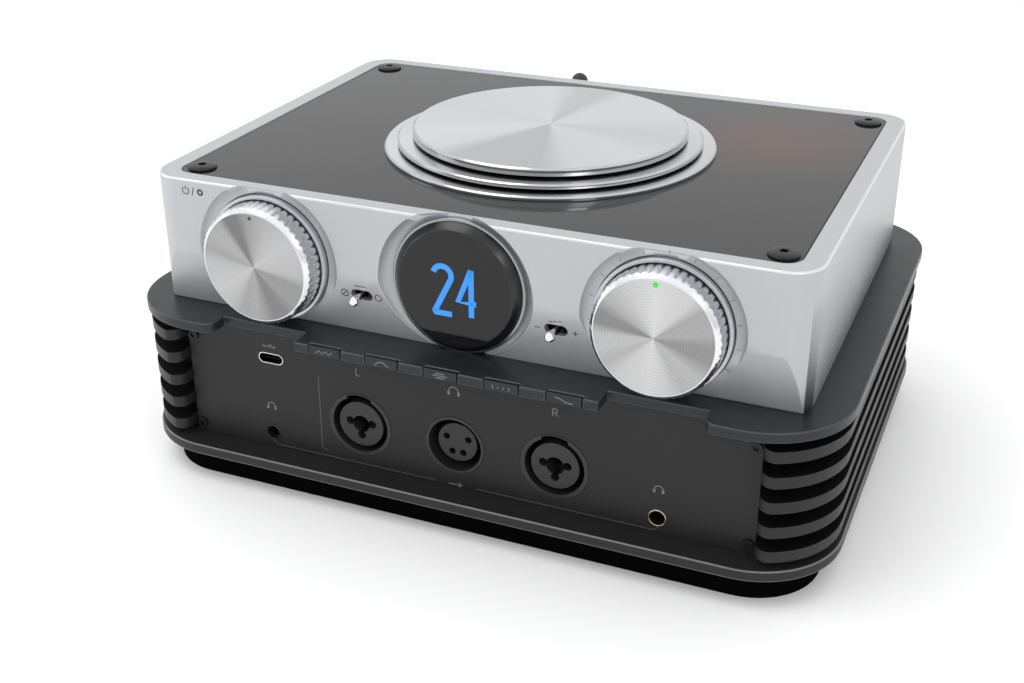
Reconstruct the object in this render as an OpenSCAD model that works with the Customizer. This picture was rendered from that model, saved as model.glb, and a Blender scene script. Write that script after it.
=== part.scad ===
/* [Overall] */
// Width of the base, side to side
base_w = 256; // [230:1:280]
// Depth of the base, front to back
base_d = 190.6; // [180:0.2:210]
// Radius of the base's vertical corners
base_r = 30; // [16:1:34]
// Height of the top face of the platform above the surface it stands on
plate_top = 64; // [60:1:80]
// Thickness of the platform
plate_t = 3.6; // [3:0.1:5]

/* [Upper case] */
// Width of the upper case
case_w = 230.4; // [200:0.2:240]
// Depth of the upper case
case_d = 167; // [150:0.2:180]
// Height of the upper case
case_h = 47.3; // [44:0.1:60]
// Radius of the upper case's vertical corners
case_r = 10.8; // [6:0.2:16]
// How far the lower front leans back where it meets the platform
lean = 4.9; // [2:0.1:6]
// Height of the crease above the platform, where the lean starts
crease_h = 21.6; // [15:0.1:26]
// Width of the silver rim beside the top glass, left and right
rim_side = 7.5; // [6:0.1:12]
// Width of the silver rim in front of and behind the top glass
rim_front = 6.6; // [5:0.1:12]

/* [Controls] */
// Distance of each knob from the centre line
knob_x = 69.4; // [60:0.1:80]
// Height of the knobs and of the display above the platform
knob_h = 23.1; // [22:0.1:28]
// Radius of the knobs
knob_r = 20.8; // [16:0.1:21.5]
// Radius of a knob's flat face
knob_face_r = 19.3; // [14:0.1:20]
// How far the knob faces stand in front of the case
knob_out = 8.5; // [6:0.1:16]
// Number of grip grooves round a knob
grooves = 48; // [24:1:72]
// Travel of the menu knob when pressed
push_travel = 0.8; // [0.4:0.1:1]
// Radius of the display's outer ring
display_r = 23.5; // [18:0.1:24]
// Distance of each lever switch from the centre line
lever_x = 34.6; // [30:0.1:40]
// Height of the lever switches above the platform
lever_h = 15; // [10:0.5:18]
// Angle of the levers from straight ahead at either end of their travel
lever_tilt = 20; // [10:1:22]
// Distance between neighbouring keys
key_pitch = 21.3; // [18:0.1:24]
// Width of a key
key_w = 11.7; // [8:0.1:14]
// Travel of a key when pressed
key_travel = 0.7; // [0.3:0.1:0.8]

/* [Front sockets] */
// Distance of the two combination sockets from the centre line
combo_x = 36; // [30:0.5:44]
// Height of the big sockets above the surface
socket_z = 31; // [28:0.5:36]
// Distance of the small sockets from the centre line
jack_x = 71.7; // [60:0.1:80]
// Height of the small sockets above the surface
jack_z = 20.3; // [19.8:0.1:26]
// Height of the data port above the surface
port_z = 50; // [44:0.5:52]

/* [Lower body] */
// Number of cooling fins on each side
fins = 5; // [3:1:6]
// Thickness of one fin
fin_t = 4; // [2.5:0.1:4.5]
// How far the front and rear panels sit behind the edges of the platform
panel_in = 10; // [8:0.5:14]
// Half the width of the front and rear panels
panel_half = 104; // [96:1:106]

/* [Top discs] */
// Radius of the lowest disc
disc_low_r = 59.8; // [50:0.1:64]
// Radius of the middle disc
disc_mid_r = 55; // [46:0.1:60]
// Radius of the top disc
disc_top_r = 49.5; // [40:0.1:54]
// Height of the top disc's face above the case
disc_h = 7.3; // [6:0.1:10]

/* [Aerial] */
// Distance of the aerial to the left of the centre line
aerial_x = 26; // [10:1:60]
// Height of the aerial's joint above the surface
aerial_z = 40; // [34:1:50]
// Length of the aerial above its joint
aerial_len = 69; // [50:0.5:90]

/* [Hidden] */
$fn = 64;

silver = [0.80, 0.81, 0.83];
bright = [0.90, 0.90, 0.91];
black = [0.05, 0.05, 0.06];
graphite = [0.20, 0.20, 0.21];
board_green = [0.05, 0.22, 0.13];

case_front = -case_d / 2;
case_top = plate_top + case_h;
knob_z = plate_top + knob_h;
lever_z = plate_top + lever_h;
crease_z = plate_top + crease_h;
plate_bottom = plate_top - plate_t;
plate_front = -base_d / 2;
panel_front = plate_front + panel_in;
panel_t = 3;
panel_back = panel_front + panel_t;
eps = 0.01;

// Upper case walls and seats
wall = 6;
front_wall_back = case_front + 12.7;
roof = 4;
glass_t = 3;
glass_gap = 0.4;
glass_drop = 0.4;
glass_seat = case_top - glass_drop - glass_t;
glass_top = glass_seat + glass_t;
glass_w = case_w - 2 * rim_side;
glass_d = case_d - 2 * rim_front;
glass_r = 5.5;
ledge = 5;
post_x = 101.7;
post_y = 70;
post_r = 7;

// Wells in the front of the case
well_r = 26.6;
well_depth = 1.8;
well_slope = 1.4;
seat_r = 22.6;
seat_depth = 4;
pocket_r = 27.4;
pocket_depth = 5.5;
pocket_slope = 2.9;
collar_r = 22.3;
collar_t = 1.2;
collar_front = case_front - 0.3;

// Round controls
knob_face = case_front - knob_out;
knob_back = case_front + seat_depth - 1.2;
shaft_r = 3;
run_gap = 0.05;
plunger_r = 1.2;
bush_r = 5;
bush_front = case_front + 5.3;
encoder_back = front_wall_back + 18;
pot_back = front_wall_back + 14;

// Lever switches
lever_r = 1.2;
lever_len = 12.6;
lever_pivot_y = case_front + 7.4;
lever_recess = case_front + 4.5;
lever_reach = lever_pivot_y - case_front - lean * (crease_h - lever_h) / crease_h;
slot_half = lever_r / cos(lever_tilt) + lever_reach * tan(lever_tilt) + 0.5;
slot_r = 1.9;

// Keys
key_gap = 0.3;
key_lip = 0.9;
key_back = plate_front + 11.8;
key_top = plate_top - 0.1;
key_low = plate_bottom + 0.2;
skin_t = 1.3;
tongue_half = 54;
notch_outer = 87;
notch_depth = 8.3;
switch_back = plate_front + 18;

// Lower body
plinth_inset = 5.8;
foot_h = 3;
rim_t = 4;
rim_top = 14.6;
rim_low = rim_top - rim_t;
first_fin_top = plate_top - 7;
fin_pitch = 8.93;
fin_inset = 1;
core_inset = 13;
board_t = 1.6;
board_z = 17.6;

// ---- shared shapes ----

// Flat rectangle with round corners, centred
module round_rect(w, d, r) {
    square([w - 2 * r, d], center = true);
    square([w, d - 2 * r], center = true);
    for (sx = [-1, 1], sy = [-1, 1])
        translate([sx * (w / 2 - r), sy * (d / 2 - r)]) circle(r = r);
}

// Upright slab with round corners, standing on z
module slab(w, d, r, z, h) {
    translate([0, 0, z]) linear_extrude(h) round_rect(w, d, r);
}

// Box given by its two opposite corners
module block(low, high) {
    translate(low) cube(high - low);
}

// Cylinder along Y from y0 to y1
module rod_y(x, z, y0, y1, r) {
    translate([x, y0, z]) rotate([-90, 0, 0]) cylinder(h = y1 - y0, r = r);
}

// Ring along Y from y0 to y1
module ring_y(x, z, y0, y1, r_out, r_in) {
    difference() {
        rod_y(x, z, y0, y1, r_out);
        rod_y(x, z, y0 - 1, y1 + 1, r_in);
    }
}

// Cone along Y, radius r0 at y0 and r1 at y1
module cone_y(x, z, y0, y1, r0, r1) {
    translate([x, y0, z]) rotate([-90, 0, 0]) cylinder(h = y1 - y0, r1 = r0, r2 = r1);
}

// Solid turned about a Y axis from a profile of [radius, y] points
module turned_y(x, z, profile) {
    translate([x, 0, z]) rotate([-90, 0, 0]) rotate_extrude() polygon(profile);
}

// Upright cylinder
module post(x, y, z, h, r) {
    translate([x, y, z]) cylinder(h = h, r = r);
}

// Slot shape in the XZ plane, rounded at both ends, cut along Y
module slot_y(x, z, y0, y1, half, r) {
    block([x - half + r, y0, z - r], [x + half - r, y1, z + r]);
    rod_y(x - half + r, z, y0, y1, r);
    rod_y(x + half - r, z, y0, y1, r);
}

// Socket-head screw pointing down: head on top of z, shank below
module screw_down(x, y, z, head_r, head_h, shank_r, shank_l, hex_r) {
    difference() {
        union() {
            post(x, y, z, head_h, head_r);
            post(x, y, z - shank_l, shank_l + eps, shank_r);
        }
        translate([x, y, z + head_h * 0.35]) cylinder(h = head_h, r = hex_r, $fn = 6);
    }
}

// Socket-head screw pointing along dir (+1 towards +Y), head outside the plane y
module screw_y(x, z, y, dir, head_r, head_h, shank_r, shank_l, hex_r) {
    translate([x, y, z]) rotate([dir * 90, 0, 0])
        screw_down(0, 0, 0, head_r, head_h, shank_r, shank_l, hex_r);
}

// Tooth profile helpers: involute of a circle
function involute(rb, t) = let (d = t * 180 / PI)
    [rb * (cos(d) + t * sin(d)), rb * (sin(d) - t * cos(d))];
function turn(p, a) = [p[0] * cos(a) - p[1] * sin(a), p[0] * sin(a) + p[1] * cos(a)];

// Flat spur gear outline with some backlash
module gear_outline(teeth, module_mm, backlash) {
    rp = teeth * module_mm / 2;
    rb = rp * cos(20);
    ra = rp + 0.9 * module_mm;
    rf = rp - 1.2 * module_mm;
    t_max = sqrt(pow(ra / rb, 2) - 1);
    t_pitch = sqrt(pow(rp / rb, 2) - 1);
    pitch_pt = involute(rb, t_pitch);
    half = 90 / teeth - backlash / rp * 90 / PI + atan2(pitch_pt[1], pitch_pt[0]);
    steps = 5;
    circle(r = rf);
    for (i = [0:teeth - 1]) {
        a = i * 360 / teeth;
        flank = [for (k = [0:steps]) turn(involute(rb, t_max * k / steps), a - half)];
        other = [for (k = [steps:-1:0]) let (p = involute(rb, t_max * k / steps))
            turn([p[0], -p[1]], a + half)];
        foot_r = rf * 0.9;
        polygon(concat([turn([foot_r, 0], a - half)], flank, other, [turn([foot_r, 0], a + half)]));
    }
}

// ---- upper case ----

// Shallow cone-sided well in the case front, with its floor 'depth' back
module front_well(x, r, depth, slope) {
    past = 1;
    cone_y(x, knob_z, case_front - past, case_front + depth, r + slope * past / depth, r - slope);
}

module upper_case() {
    color(silver) difference() {
        union() {
            difference() {
                slab(case_w, case_d, case_r, plate_top, case_h);
                case_room();
            }
            for (sx = [-1, 1], sy = [-1, 1])
                post(sx * post_x, sy * post_y, plate_top, glass_seat - plate_top, post_r);
        }
        // leaning lower front
        run = lean * (crease_h + 1) / crease_h;
        translate([-case_w, 0, 0]) rotate([90, 0, 90]) linear_extrude(2 * case_w)
            polygon([[case_front - 1, crease_z], [case_front, crease_z],
                [case_front + run, plate_top - 1], [case_front - 1, plate_top - 1]]);
        for (sx = [-1, 1]) {
            front_well(sx * knob_x, well_r, well_depth, well_slope);
            rod_y(sx * knob_x, knob_z, case_front - 1, case_front + seat_depth, seat_r);
            rod_y(sx * knob_x, knob_z, case_front, front_wall_back + 1, bush_r + 0.2);
            lever_cutout(sx * lever_x);
        }
        front_well(0, pocket_r, pocket_depth, pocket_slope);
        block([-6, case_front, knob_z - 3], [6, front_wall_back + 1, knob_z + 3]);
        for (sx = [-1, 1], sy = [-1, 1]) {
            post(sx * post_x, sy * post_y, glass_seat - 12, 13, 1.65);
            post(sx * post_x, sy * post_y, plate_top - 1, 15, 2.1);
        }
    }
}

// The hollow of the case: room inside, opening under the glass and the glass's seat
module case_room() {
    room_d = case_d / 2 - wall - front_wall_back;
    translate([0, front_wall_back + room_d / 2, 0])
        slab(case_w - 2 * wall, room_d, 5, plate_top - 1, case_h - roof - glass_t + 1);
    slab(glass_w - 2 * ledge, glass_d - 4 * ledge, 5, plate_top + 10, case_h);
    slab(glass_w + 2 * glass_gap, glass_d + 2 * glass_gap, glass_r + glass_gap, glass_seat, 10);
}

// Slot for a lever in the front wall and the pocket for its switch behind
module lever_cutout(x) {
    slot_y(x, lever_z, case_front - 1, front_wall_back, slot_half, slot_r);
    block([x - 7.2, lever_recess, lever_z - 5.2], [x + 7.2, front_wall_back + 1, lever_z + 5.2]);
}

module top_glass() {
    color([0.10, 0.09, 0.09]) difference() {
        slab(glass_w, glass_d, glass_r, glass_seat, glass_t);
        for (sx = [-1, 1], sy = [-1, 1]) post(sx * post_x, sy * post_y, glass_seat - 1, 5, 2);
        post(0, 0, glass_seat - 1, 5, 3.2);
    }
}

module glass_screws() {
    head_r = 5.05;
    color(black) for (x = [-post_x, post_x], y = [-post_y, post_y])
        translate([x, y, glass_top]) difference() {
            rotate_extrude() polygon([[0, -12], [1.6, -12], [1.6, 0], [head_r, 0], [head_r, 0.5],
                [head_r - 0.3, 0.8], [head_r - 1.2, 1.05], [2.4, 1.3], [0, 1.35]]);
            translate([0, 0, 0.2]) cylinder(h = 3, r = 1.5, $fn = 6);
        }
}

// ---- stepped discs on the glass ----

low_top = glass_top + 1.6;
mid_low = low_top + 0.9;
mid_top = mid_low + 1.6;
top_low = mid_top + 0.9;
top_face = case_top + disc_h;
stud_r = 3;

module disc_stud() {
    color(bright) difference() {
        union() {
            post(0, 0, glass_seat - 6, top_low + 2 - glass_seat + 6, stud_r);
            post(0, 0, glass_seat - 4.2, 4.2, 7);
        }
        post(0, 0, glass_seat - 7, 4, 1.6);
    }
}

// Flat disc with a small bevel at the top edge and a hole for the stud
module disc(r, z0, z1, bevel, hole) {
    difference() {
        rotate_extrude($fn = 128) polygon([[0, z0], [r, z0], [r, z1 - bevel], [r - bevel, z1], [0, z1]]);
        post(0, 0, z0 - 1, hole, stud_r + 0.02);
    }
}

module disc_low() { color(silver) disc(disc_low_r, glass_top, low_top, 0.5, 6); }

module disc_middle() { color(silver) disc(disc_mid_r, mid_low, mid_top, 0.5, 6); }

module disc_spacers() {
    color(black) {
        disc(disc_mid_r - 4, low_top, mid_low, 0.1, 6);
        disc(disc_top_r - 4, mid_top, top_low, 0.1, 6);
    }
}

module disc_top() { color(bright) disc(disc_top_r, top_low, top_face, 0.5, 3); }

// ---- display ----

display_back = case_front + pocket_depth;
display_front = display_back - 2.1;
lens_face = case_front + 0.5;
lens_r = display_r - 0.5;
lens_face_r = 20.15;
lens_back = lens_face + 1.5;

// Seat of the display: ring with a flat where it stands on the platform, cross bars and a plug
module display_ring() {
    half = lens_r - 2;
    color(bright) difference() {
        union() {
            ring_y(0, knob_z, display_front, display_back, display_r, half);
            block([-half - 1, display_back - 0.9, knob_z - 2], [half + 1, display_back, knob_z + 2]);
            block([-8, display_back - 1, knob_z - 8], [8, display_back, knob_z + 8]);
            block([-5.4, display_back - eps, knob_z - 2.6], [5.4, front_wall_back, knob_z + 2.6]);
        }
        block([-display_r, display_front - 1, plate_top - 5], [display_r, display_back + 1, plate_top]);
    }
}

// Cover with a wide cone-shaped bevel round its flat face
module display_lens() {
    color(black) difference() {
        turned_y(0, knob_z, [[0, lens_face], [lens_face_r, lens_face], [lens_r, display_front],
            [lens_r - 2.2, display_front], [18.4, lens_back], [0, lens_back]]);
        block([-lens_r, lens_face - 1, plate_top - 5], [lens_r, display_front + 1, plate_top]);
    }
}

module display_panel() {
    color(graphite) union() {
        rod_y(0, knob_z, lens_back + 0.1, lens_back + 1.5, 17.8);
        rod_y(0, knob_z, lens_back + 1.5, display_back - 1, 6);
    }
}

// ---- knobs ----

seat_floor = case_front + seat_depth;

module collar(x) {
    color(bright) ring_y(x, knob_z, collar_front, seat_floor, collar_r, collar_r - collar_t);
}

module menu_collar() { collar(-knob_x); }

module volume_collar() { collar(knob_x); }

// Knob: flat face, bevel, grooved grip and a blind bore for the shaft
module knob(x, lamp) {
    bevel = knob_r - knob_face_r;
    difference() {
        turned_y(x, knob_z, [[0, knob_face], [knob_face_r, knob_face], [knob_r, knob_face + bevel],
            [knob_r, knob_back], [knob_r - 2, knob_back], [knob_r - 2.6, knob_face + 4.5],
            [bush_r + 3, knob_face + 4.5], [bush_r + 3, knob_back], [0, knob_back]]);
        rod_y(x, knob_z, knob_face + 3, knob_back + 1, shaft_r + 0.01);
        for (i = [0:grooves - 1]) {
            a = (i + 0.5) * 360 / grooves;
            rod_y(x + (knob_r + 0.25) * cos(a), knob_z + (knob_r + 0.25) * sin(a),
                knob_face + bevel * 0.6, knob_back + 1, 0.75);
        }
        rod_y(x, knob_z + 17.5, knob_face - 1, knob_face + (lamp ? 6 : 0.3), lamp ? 0.9 : 0.6);
    }
}

module menu_knob() { color(silver) knob(-knob_x, false); }

module volume_knob() { color(silver) knob(knob_x, true); }

// Light rod in the volume knob's face
module volume_lamp() {
    color([0.10, 0.90, 0.10]) rod_y(knob_x, knob_z + 17.5, knob_face + 0.1, knob_face + 4.5, 0.9);
}

module menu_shaft() {
    color(bright) ring_y(-knob_x, knob_z, knob_face + 3, encoder_back - 5, shaft_r, plunger_r + run_gap);
}

module menu_plunger() {
    color(bright) rod_y(-knob_x, knob_z, knob_face + 4, encoder_back - 2, plunger_r);
}

// Rotary encoder: threaded bush through the wall, nut and body behind it
module menu_encoder() {
    color(graphite) difference() {
        union() {
            rod_y(-knob_x, knob_z, bush_front, front_wall_back, bush_r);
            block([-knob_x - 8, front_wall_back, knob_z - 8], [-knob_x + 8, encoder_back, knob_z + 8]);
        }
        rod_y(-knob_x, knob_z, bush_front - 1, encoder_back - 10, shaft_r + run_gap);
        rod_y(-knob_x, knob_z, encoder_back - 10 - eps, encoder_back - 1, shaft_r + 0.5);
    }
}

gear_module = 0.8;
gear_teeth = 36;
pinion_teeth = 18;
gear_reach = (gear_teeth + pinion_teeth) * gear_module / 2 + 0.1;
gear_y = pot_back + 4;
gear_t = 4;

module volume_pot() {
    color(graphite) difference() {
        union() {
            rod_y(knob_x, knob_z, bush_front, front_wall_back, bush_r);
            block([knob_x - 12, front_wall_back, knob_z - 12], [knob_x + 12, pot_back, knob_z + 12]);
        }
        rod_y(knob_x, knob_z, bush_front - 1, pot_back + 1, shaft_r + run_gap);
    }
}

module volume_shaft() {
    color(bright) union() {
        rod_y(knob_x, knob_z, knob_face + 3, gear_y + gear_t + 2, shaft_r);
        translate([knob_x, gear_y + gear_t, knob_z]) rotate([90, 0, 0]) linear_extrude(gear_t)
            gear_outline(gear_teeth, gear_module, 0.12);
    }
}

module motor_pinion() {
    color([0.85, 0.70, 0.40]) translate([knob_x - gear_reach, 0, knob_z]) union() {
        translate([0, gear_y + gear_t, 0]) rotate([90, 0, 0]) linear_extrude(gear_t)
            rotate(180 / pinion_teeth) gear_outline(pinion_teeth, gear_module, 0.12);
        rod_y(0, 0, gear_y - 1, gear_y + gear_t + 8, 1);
    }
}

module motor() {
    motor_y = gear_y + gear_t + 1.5;
    color(silver) difference() {
        union() {
            rod_y(knob_x - gear_reach, knob_z, motor_y, motor_y + 22, 8);
            block([knob_x - gear_reach - 9, motor_y + 22, plate_top],
                [knob_x - gear_reach + 9, motor_y + 24, knob_z + 9]);
        }
        rod_y(knob_x - gear_reach, knob_z, motor_y - 1, motor_y + 7, 1 + run_gap);
    }
}

// ---- lever switches ----

// Bat lever on a cross pin, straight ahead in the middle of its travel
module lever(x) {
    tip = -lever_len;
    translate([x, lever_pivot_y, lever_z]) union() {
        turned_y(0, 0, [[0, tip], [1, tip + 0.2], [1.6, tip + 0.8], [1.8, tip + 1.6], [1.7, tip + 2.6],
            [lever_r, tip + 7.1], [lever_r, 0], [0, 0]]);
        sphere(r = 2);
        post(0, 0, -4, 8, 0.8);
    }
}

module mode_lever() { color(bright) lever(-lever_x); }

module gain_lever() { color(bright) lever(lever_x); }

// Switch body behind the wall, with room for the lever and bores for its pin
module lever_switch(x) {
    front = lever_recess + 0.2;
    color(black) difference() {
        block([x - 7, front, lever_z - 5], [x + 7, front + 14, lever_z + 5]);
        block([x - 4.6, front - 1, lever_z - 2.4], [x + 4.6, front + 6, lever_z + 2.4]);
        post(x, lever_pivot_y, lever_z - 4.3, 8.6, 0.8 + run_gap);
    }
}

module mode_switch() { lever_switch(-lever_x); }

module gain_switch() { lever_switch(lever_x); }

// ---- boards and valves in the upper case ----

upper_board_z = plate_top + 8;
valve_x = 76;
valve_r = 10.5;
valve_z = plate_top + 24;

module control_board() {
    color(board_green) union() {
        block([-96, -47, upper_board_z - 5], [96, -27, upper_board_z - 5 + board_t]);
        for (x = [-90, -30, 30, 90]) post(x, -30, plate_top, upper_board_z - 5 - plate_top, 2.5);
    }
}

module valve_board() {
    color(board_green) difference() {
        union() {
            block([-93, -18, upper_board_z], [93, 60, upper_board_z + board_t]);
            for (x = [-88, 0, 88], y = [-12, 56]) post(x, y, plate_top, upper_board_z - plate_top, 3);
        }
        for (x = [-88, 0, 88], y = [-12, 56]) post(x, y, plate_top - 1, 20, 1.5);
    }
}

module valve_sockets() {
    color([0.85, 0.83, 0.78]) for (sx = [-1, 1]) difference() {
        union() {
            rod_y(sx * valve_x, valve_z, 44, 52, valve_r);
            block([sx * valve_x - 8, 45, upper_board_z + board_t], [sx * valve_x + 8, 51, valve_z]);
        }
        rod_y(sx * valve_x, valve_z, 43, 50, 3);
    }
}

module valves() {
    color([0.75, 0.72, 0.70]) for (sx = [-1, 1]) turned_y(sx * valve_x, valve_z,
        [[0, 2], [1.5, 2.2], [2.2, 5], [5, 6.4], [8, 8.5], [9.6, 11.5], [10.2, 15],
        [10.2, 43.9], [2.8, 43.9], [2.8, 49], [0, 49]]);
}

module case_bolts() {
    color(black) for (sx = [-1, 1], sy = [-1, 1]) translate([sx * post_x, sy * post_y]) difference() {
        union() {
            post(0, 0, plate_bottom - 4, 4, 3.5);
            post(0, 0, plate_bottom - eps, plate_t + 10, 2);
        }
        translate([0, 0, plate_bottom - 5]) cylinder(h = 3, r = 1.7, $fn = 6);
    }
}

// ---- platform and keys ----

function key_at(i) = (i - 3) * key_pitch;

// Outline of the platform with a notch under each knob
module platform_outline() {
    notch_mid = (tongue_half + notch_outer) / 2;
    notch_w = notch_outer - tongue_half;
    round_nose = 4;
    difference() {
        round_rect(base_w, base_d, base_r);
        for (sx = [-1, 1]) {
            translate([sx * notch_mid, plate_front]) square([notch_w, 2 * notch_depth], center = true);
            translate([sx * (notch_outer + round_nose), plate_front + round_nose]) difference() {
                translate([-sx * round_nose, -round_nose]) square(2 * round_nose, center = true);
                circle(r = round_nose);
            }
        }
    }
}

module platform() {
    color(black) difference() {
        translate([0, 0, plate_bottom]) linear_extrude(plate_t) platform_outline();
        for (i = [1:5]) {
            x = key_at(i);
            half = key_w / 2 + key_gap;
            block([x - half, plate_front - 1, plate_bottom - 1],
                [x + half, plate_front + key_lip + key_travel + key_gap, plate_top + 1]);
            block([x - half, plate_front, plate_bottom - 1],
                [x + half, switch_back + 1, plate_top - skin_t]);
        }
        for (sx = [-1, 1], sy = [-1, 1]) post(sx * post_x, sy * post_y, plate_bottom - 1, plate_t + 2, 2.3);
        block([-30, 0, plate_bottom - 1], [30, 14, plate_top + 1]);
    }
}

// One key: a full-height lip at the front and a low shank under the platform's skin
module key(i) {
    x = key_at(i);
    color(graphite) union() {
        block([x - key_w / 2, plate_front, key_low], [x + key_w / 2, plate_front + key_lip, key_top]);
        block([x - key_w / 2, plate_front + key_lip - eps, key_low],
            [x + key_w / 2, key_back, plate_top - skin_t - key_gap]);
    }
}

module key_1() { key(1); }

module key_2() { key(2); }

module key_3() { key(3); }

module key_4() { key(4); }

module key_5() { key(5); }

module key_switches() {
    switch_top = plate_top - skin_t - 0.2;
    y_front = key_back + key_travel + 1;
    color(graphite) union() {
        block([-50, y_front + 1.1, plate_bottom - board_t], [50, switch_back + 4, plate_bottom]);
        for (i = [1:5]) {
            block([key_at(i) - 3, y_front + 1, plate_bottom - eps],
                [key_at(i) + 3, switch_back, switch_top]);
            rod_y(key_at(i), plate_bottom + 1.2, y_front - 0.9, y_front + 1 + eps, 0.8);
        }
    }
}

// ---- lower body ----

// Outline of a fin or of the core on the side sx; a small arc blends each end into the corner arc
module side_outline(sx, inset) {
    end = panel_half + 0.6;
    nose = 4;
    nose_out = 0.1;
    reach = base_r - inset - nose + nose_out;
    off_x = end + nose - base_w / 2 + base_r;
    nose_y = base_d / 2 - base_r + sqrt(reach * reach - off_x * off_x);
    cut_w = nose * (1 + off_x / reach);
    difference() {
        intersection() {
            round_rect(base_w - 2 * inset, base_d - 2 * inset, base_r - inset);
            translate([sx * (end + base_w / 2), 0]) square([base_w, base_d], center = true);
        }
        for (sy = [-1, 1]) difference() {
            translate([sx * (end + cut_w / 2 - 1), sy * (nose_y + nose)])
                square([cut_w + 2, 2 * nose], center = true);
            translate([sx * (end + nose), sy * nose_y]) circle(r = nose);
        }
    }
}

module heatsink(sx) {
    corner_y = -panel_back - 4;
    color(graphite) difference() {
        union() {
            for (k = [0:fins - 1]) translate([0, 0, first_fin_top - fin_t - k * fin_pitch])
                linear_extrude(fin_t) side_outline(sx, fin_inset);
            translate([0, 0, rim_top]) linear_extrude(plate_bottom - rim_top)
                side_outline(sx, core_inset);
            for (sy = [-1, 1]) translate([sx * (panel_half - 2), sy * corner_y])
                block([-7, -4, rim_top], [7, 4, plate_bottom]);
        }
        for (sy = [-1, 1], z = [panel_screw_low, panel_screw_high])
            rod_y(sx * panel_screw_x, z, sy * corner_y - 9, sy * corner_y + 9, 1.3);
        for (sy = [-1, 1]) {
            post(sx * post_x, sy * post_y, plate_bottom - 5, 6, 4);
            post(sx * post_x, sy * post_y, rim_top - 1, 11, 1.3);
        }
    }
}

panel_screw_x = 101.8;
panel_screw_low = 18.1;
panel_screw_high = 53.6;
panel_screw_r = 1.95;

module heatsink_left() { heatsink(-1); }

module heatsink_right() { heatsink(1); }

combo_r = 12;
balanced_r = 10.8;
port_x = 70.3;
panel_gap = 0.1;

// Panel from y0 to y1 with its four screw holes
module panel_blank(y0, y1) {
    difference() {
        block([-panel_half, y0, rim_top + 0.1], [panel_half, y1, plate_bottom - 0.1]);
        for (sx = [-1, 1], z = [panel_screw_low, panel_screw_high])
            rod_y(sx * panel_screw_x, z, y0 - 1, y1 + 1, 1.7);
    }
}

module front_panel() {
    y0 = panel_front - 1;
    y1 = panel_back + 1;
    color(graphite) difference() {
        panel_blank(panel_front, panel_back);
        for (sx = [-1, 1]) rod_y(sx * combo_x, socket_z, y0, y1, combo_r + panel_gap);
        rod_y(0, socket_z, y0, y1, balanced_r + panel_gap);
        rod_y(-jack_x, jack_z, y0, y1, 3 + panel_gap);
        rod_y(jack_x, jack_z, y0, y1, 3.1 + panel_gap);
        slot_y(-port_x, port_z, y0, y1, 5 + panel_gap, 2.1 + panel_gap);
    }
}

module panel_screws() {
    color(black) for (sx = [-1, 1], z = [panel_screw_low, panel_screw_high]) {
        screw_y(sx * panel_screw_x, z, panel_front, 1, panel_screw_r, 0.9, 1.25, 10, 1);
        screw_y(sx * panel_screw_x, z, -panel_front, -1, panel_screw_r, 0.9, 1.25, 10, 1);
    }
}

// Combination socket: outer ring, deep channel, round core with a bore and three pin lobes
module combo_socket(x) {
    face = panel_front - 0.2;
    depth = 22;
    color(black) difference() {
        union() {
            rod_y(x, socket_z, face, face + depth, combo_r);
            block([x - 13, panel_back, socket_z - 13], [x + 13, face + depth, socket_z + 13]);
        }
        ring_y(x, socket_z, face - 1, face + 15, 10.5, 8.5);
        rod_y(x, socket_z, face - 1, face + 0.8, 10);
        intersection() {
            ring_y(x, socket_z, face - 1, face + 10, 11.5, 10);
            block([x - 4.6, face - 2, socket_z], [x + 4.6, face + 12, socket_z + 20]);
        }
        rod_y(x, socket_z, face - 1, face + depth - 2, 3.2);
        for (a = [-90, 8, 172]) rod_y(x + 4.3 * cos(a), socket_z + 4.3 * sin(a), face - 1, face + 8, 1.5);
    }
}

module combo_left() { combo_socket(-combo_x); }

module combo_right() { combo_socket(combo_x); }

module balanced_socket() {
    face = panel_front - 0.2;
    depth = 20;
    color(black) difference() {
        union() {
            rod_y(0, socket_z, face, face + depth, balanced_r);
            block([-12, panel_back, socket_z - 12], [12, face + depth, socket_z + 12]);
        }
        ring_y(0, socket_z, face - 1, face + 14, 9.7, 7.2);
        rod_y(0, socket_z, face - 1, face + 2.4, 9);
        for (a = [22, 158, 242, 298])
            rod_y(4.3 * cos(a), socket_z + 4.3 * sin(a), face - 1, face + 13, 1.2);
    }
}

// Small round jack with a bezel
module jack(x, r_out, r_bore, depth) {
    face = panel_front - 0.4;
    difference() {
        union() {
            rod_y(x, jack_z, face, panel_back, r_out);
            block([x - 5, panel_back, jack_z - 1.3], [x + 5, panel_back + depth, jack_z + 5]);
            rod_y(x, jack_z, panel_back, panel_back + 1, r_out);
        }
        rod_y(x, jack_z, face - 1, panel_back + depth - 1, r_bore);
    }
}

module large_jack() { color([0.85, 0.70, 0.35]) jack(jack_x, 3.1, 2.25, 16); }

module small_jack() { color(black) jack(-jack_x, 3, 1.8, 13); }

module data_port() {
    x = -port_x;
    face = panel_front - 0.1;
    color(bright) union() {
        difference() {
            slot_y(x, port_z, face, panel_back + 4, 5, 2.1);
            slot_y(x, port_z, face - 1, panel_back + 3, 4.55, 1.65);
        }
        block([x - 3.3, face + 0.8, port_z - 0.35], [x + 3.3, panel_back + 3.5, port_z + 0.35]);
    }
}

module main_board() {
    color(board_green) union() {
        difference() {
            block([-96, -55, board_z], [96, 55, board_z + board_t]);
            for (sx = [-1, 1], sy = [-1, 1]) post(sx * 90, sy * 50, board_z - 1, 4, 1.6);
        }
        for (x = [-combo_x, 0, combo_x])
            block([x - 9, -60, board_z + eps], [x + 9, -54, board_z + board_t]);
    }
}

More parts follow.
